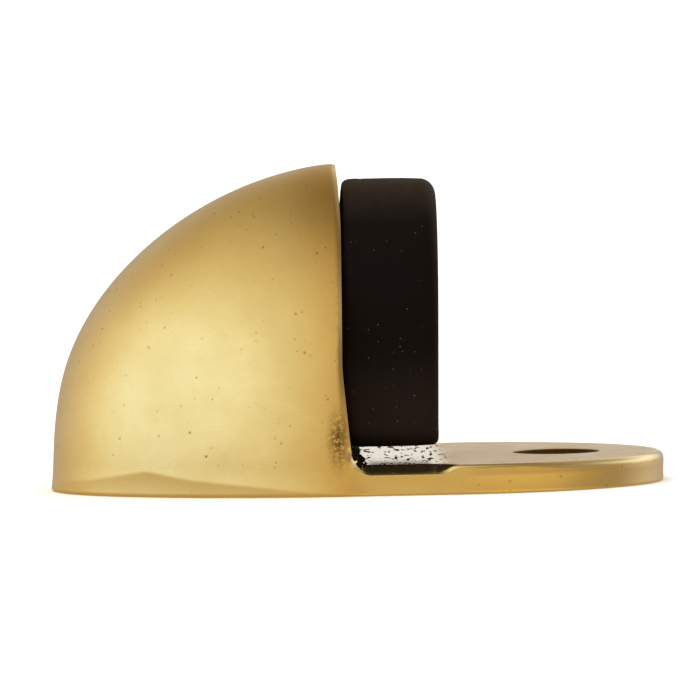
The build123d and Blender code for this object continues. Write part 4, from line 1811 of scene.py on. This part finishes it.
@dataclass
class Studio:
    """A plain pale floor, soft light all round and the camera.

    The room's light is one broad pale glow to the left that falls off to a dim warm room, with a
    paler wall behind. The patches then add a weaker glow behind to the right, shade by the camera
    and overhead, a warm floor, its lit part in front, and a pale card straight behind.
    """

    azimuth: float = -1.15
    elevation: float = 3.0
    roll: float = 1.05
    lens: float = 600.0
    distance: float = 1.45
    aim: tuple[float, float, float] = (-0.0009, 0.0, 0.0168)
    floor_half: float = 6.0
    key: tuple[float, float] = (-56.0, 10.0)
    brightness: float = 1.16
    glow: tuple[tuple[float, Colour], ...] = (
        (0.00, (0.29, 0.22, 0.13, 1.0)),
        (0.23, (0.35, 0.27, 0.16, 1.0)),
        (0.46, (0.42, 0.33, 0.18, 1.0)),
        (0.62, (0.53, 0.43, 0.25, 1.0)),
        (0.72, (0.65, 0.57, 0.36, 1.0)),
        (0.82, (0.77, 0.74, 0.53, 1.0)),
        (0.90, (0.85, 0.87, 0.76, 1.0)),
        (1.00, (0.89, 1.00, 1.00, 1.0)),
    )
    wall: Colour = (0.12, 0.14, 0.20, 1.0)
    patches: tuple[Patch, ...] = (
        Patch("weaker glow", (124.0, 36.0), 0.66, 1.0, Blend.ADD, (0.55, 0.55, 0.48, 1.0)),
        Patch("camera's shade", (29.0, 9.0), 0.84, 0.985, Blend.MULTIPLY, (0.50, 0.45, 0.36, 1.0)),
        Patch("dark overhead", (110.0, 63.5), 0.64, 0.98, Blend.MULTIPLY, (0.40, 0.36, 0.28, 1.0)),
        Patch("warm floor", (115.0, 0.0), 0.95, 0.66, Blend.COVER, (0.46, 0.33, 0.14, 1.0), on_floor=True),
        Patch("lit floor in front", (32.0, -17.0), 0.80, 0.99, Blend.ADD, (0.30, 0.23, 0.10, 1.0)),
        Patch("pale card", (178.8, 3.0), 0.992, 0.998, Blend.COVER, (0.72, 0.70, 0.68, 1.0)),
    )
    paint: Colour = (0.855, 0.86, 0.89, 1.0)
    fill: float = 3.3
    fill_degrees: float = 120.0

    def build(self) -> None:
        """Sets up the floor, the surroundings, the lights and the camera."""
        target = Vector(self.aim)
        self.floor()
        self.surroundings()
        self.fill_light()
        data = bpy.data.cameras.new("camera")
        data.lens = self.lens
        data.clip_start = 0.01
        data.clip_end = 50.0
        camera = bpy.data.objects.new("camera", data)
        away = away_from(self.azimuth, self.elevation)
        tilt = Matrix.Rotation(math.radians(-self.roll), 3, "Z")
        camera.rotation_euler = (away.to_track_quat("Z", "Y").to_matrix() @ tilt).to_euler()
        camera.location = target + away * self.distance
        bpy.context.scene.collection.objects.link(camera)
        bpy.context.scene.camera = camera
        bpy.context.scene.view_settings.view_transform = "Standard"

    def floor(self) -> None:
        """Lays the floor under the foot. The brass mirrors the room's own warm floor instead."""
        half = self.floor_half
        mesh = bpy.data.meshes.new("floor")
        corners = [(-half, -half, 0.0), (half, -half, 0.0), (half, half, 0.0), (-half, half, 0.0)]
        mesh.from_pydata(corners, [], [(0, 1, 2, 3)])
        floor = bpy.data.objects.new("floor", mesh)
        floor.visible_glossy = False
        bpy.context.scene.collection.objects.link(floor)
        made = bpy.data.materials.new("pale_floor")
        tree = emptied(made)
        nodes, links = tree.nodes, tree.links
        shader = nodes.new("ShaderNodeBsdfPrincipled")
        shader.label = "Matt paint"
        shader.location = (0, 0)
        shader.inputs["Base Color"].default_value = self.paint
        shader.inputs["Roughness"].default_value = 0.9
        shader.inputs["Specular IOR Level"].default_value = 0.1
        output = nodes.new("ShaderNodeOutputMaterial")
        output.label = "Surface"
        output.location = (300, 0)
        links.new(shader.outputs["BSDF"], output.inputs["Surface"])
        mesh.materials.append(made)

    def fill_light(self) -> None:
        """Adds a very soft light from above, for the floor and the rubber, unseen in the brass."""
        data = bpy.data.lights.new("overhead_fill", "SUN")
        data.energy = self.fill
        data.angle = math.radians(self.fill_degrees)
        lamp = bpy.data.objects.new("overhead_fill", data)
        lamp.visible_glossy = False
        bpy.context.scene.collection.objects.link(lamp)

    def surroundings(self) -> None:
        """Fills the room with soft light, by its direction from the object."""
        world = bpy.data.worlds.new("studio")
        bpy.context.scene.world = world
        tree = emptied(world)
        nodes, links = tree.nodes, tree.links
        place = nodes.new("ShaderNodeTexCoord")
        place.label = "Direction"
        axes = nodes.new("ShaderNodeSeparateXYZ")
        axes.label = "Back and up"
        links.new(place.outputs["Generated"], axes.inputs["Vector"])

        towards = nodes.new("ShaderNodeVectorMath")
        towards.label = "Towards the main glow"
        towards.operation = "DOT_PRODUCT"
        towards.inputs[1].default_value = away_from(*self.key)
        links.new(place.outputs["Generated"], towards.inputs[0])
        share = nodes.new("ShaderNodeMapRange")
        share.label = "From the dim side to the glow"
        share.inputs["From Min"].default_value = -0.3
        links.new(towards.outputs["Value"], share.inputs["Value"])
        glow = nodes.new("ShaderNodeValToRGB")
        glow.label = "Main glow"
        glow.color_ramp.interpolation = "B_SPLINE"
        stops = glow.color_ramp.elements
        for index, (position, colour) in enumerate(self.glow):
            if index in (0, len(self.glow) - 1):
                stop = stops[min(index, 1) * (len(stops) - 1)]
                stop.position = position
            else:
                stop = stops.new(position)
            stop.color = colour
        links.new(share.outputs["Result"], glow.inputs["Fac"])

        behind = nodes.new("ShaderNodeMapRange")
        behind.label = "Behind the object"
        behind.interpolation_type = "SMOOTHSTEP"
        behind.inputs["From Min"].default_value = 0.0
        behind.inputs["From Max"].default_value = 0.6
        links.new(axes.outputs["Y"], behind.inputs["Value"])
        low = nodes.new("ShaderNodeMapRange")
        low.label = "Low down only"
        low.interpolation_type = "SMOOTHSTEP"
        low.inputs["From Min"].default_value = 0.80
        low.inputs["From Max"].default_value = 0.35
        links.new(axes.outputs["Z"], low.inputs["Value"])
        wall_share = nodes.new("ShaderNodeMath")
        wall_share.label = "Behind and low down"
        wall_share.operation = "MULTIPLY"
        links.new(behind.outputs["Result"], wall_share.inputs[0])
        links.new(low.outputs["Result"], wall_share.inputs[1])
        wall = nodes.new("ShaderNodeMix")
        wall.label = "Paler wall behind"
        wall.data_type = "RGBA"
        wall.blend_type = "ADD"
        wall.inputs["B"].default_value = self.wall
        links.new(wall_share.outputs["Value"], wall.inputs["Factor"])
        links.new(glow.outputs["Color"], wall.inputs["A"])
        below = nodes.new("ShaderNodeMapRange")
        below.label = "Below the horizon"
        below.interpolation_type = "SMOOTHSTEP"
        below.inputs["From Min"].default_value = -0.04
        below.inputs["From Max"].default_value = -0.16
        links.new(axes.outputs["Z"], below.inputs["Value"])

        effects = {
            "Where in the room": (place, axes, below),
            "Main glow": (towards, share, glow),
            "Wall": (behind, low, wall_share, wall),
        }
        light = wall.outputs["Result"]
        for patch in self.patches:
            nearness = nodes.new("ShaderNodeVectorMath")
            nearness.label = f"Towards the {patch.name}"
            nearness.operation = "DOT_PRODUCT"
            nearness.inputs[1].default_value = away_from(*patch.towards)
            links.new(place.outputs["Generated"], nearness.inputs[0])
            spread = nodes.new("ShaderNodeMapRange")
            spread.label = f"Spread of the {patch.name}"
            spread.interpolation_type = "SMOOTHSTEP"
            spread.inputs["From Min"].default_value = patch.none_at
            spread.inputs["From Max"].default_value = patch.full_at
            links.new(nearness.outputs["Value"], spread.inputs["Value"])
            tint = nodes.new("ShaderNodeMix")
            tint.label = f"The {patch.name}"
            tint.data_type = "RGBA"
            tint.blend_type = patch.blend.value
            tint.inputs["B"].default_value = patch.colour
            links.new(light, tint.inputs["A"])
            effects[patch.name] = (nearness, spread, tint)
            if patch.on_floor:
                floor_share = nodes.new("ShaderNodeMath")
                floor_share.label = "Only below the horizon"
                floor_share.operation = "MULTIPLY"
                links.new(below.outputs["Result"], floor_share.inputs[0])
                links.new(spread.outputs["Result"], floor_share.inputs[1])
                links.new(floor_share.outputs["Value"], tint.inputs["Factor"])
                effects[patch.name] += (floor_share,)
            else:
                links.new(spread.outputs["Result"], tint.inputs["Factor"])
            light = tint.outputs["Result"]

        room = nodes.new("ShaderNodeBackground")
        room.label = "Room"
        room.inputs["Strength"].default_value = self.brightness
        links.new(light, room.inputs["Color"])
        seen = nodes.new("ShaderNodeLightPath")
        seen.label = "Seen directly"
        backdrop = nodes.new("ShaderNodeBackground")
        backdrop.label = "Plain backdrop"
        choose = nodes.new("ShaderNodeMixShader")
        choose.label = "Backdrop or room"
        links.new(seen.outputs["Is Camera Ray"], choose.inputs["Fac"])
        links.new(room.outputs["Background"], choose.inputs[1])
        links.new(backdrop.outputs["Background"], choose.inputs[2])
        output = nodes.new("ShaderNodeOutputWorld")
        output.label = "World"
        links.new(choose.outputs["Shader"], output.inputs["Surface"])
        effects["Surroundings"] = (room, seen, backdrop, choose, output)
        for row, (effect, members) in enumerate(effects.items()):
            group = nodes.new("NodeFrame")
            group.label = effect
            for column, member in enumerate(members):
                member.parent = group
                member.location = (NODE_COLUMN * column, -NODE_ROW * row)


def dress(node: Node, material: bpy.types.Material) -> None:
    """Gives a CAD node that stays as it is a better material.

    Args:
        node: The node.
        material: The material.
    """
    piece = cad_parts[node.value]
    for index in range(len(piece.material_slots)):
        piece.material_slots[index].material = material
    LOG.info("%s keeps its shape", node.value)


def main() -> None:
    """Builds the studio and every piece in turn."""
    logging.basicConfig(level=logging.INFO, format="%(name)s: %(message)s")
    Studio().build()
    plated = SteelFinish("zinc_plated_steel", (0.72, 0.71, 0.68, 1.0), (0.42, 0.41, 0.39, 1.0), 0.24, 0.42)
    spring = SteelFinish("oiled_spring_steel", (0.20, 0.19, 0.19, 1.0), (0.07, 0.065, 0.06, 1.0), 0.28, 0.5)
    steel = plated.material()
    casting = Casting()
    install(casting.build(), Node.CASTING, BrassFinish().material())
    buffer = Buffer(root=casting.root)
    install(buffer.build(), Node.BUFFER, RubberFinish().material())
    install(Screw().build(), Node.SCREW, steel)
    dress(Node.FLAT_WASHER, steel)
    dress(Node.NUT, steel)
    dress(Node.SPRING_WASHER, spring.material())


if __name__ == "__main__":
    main()
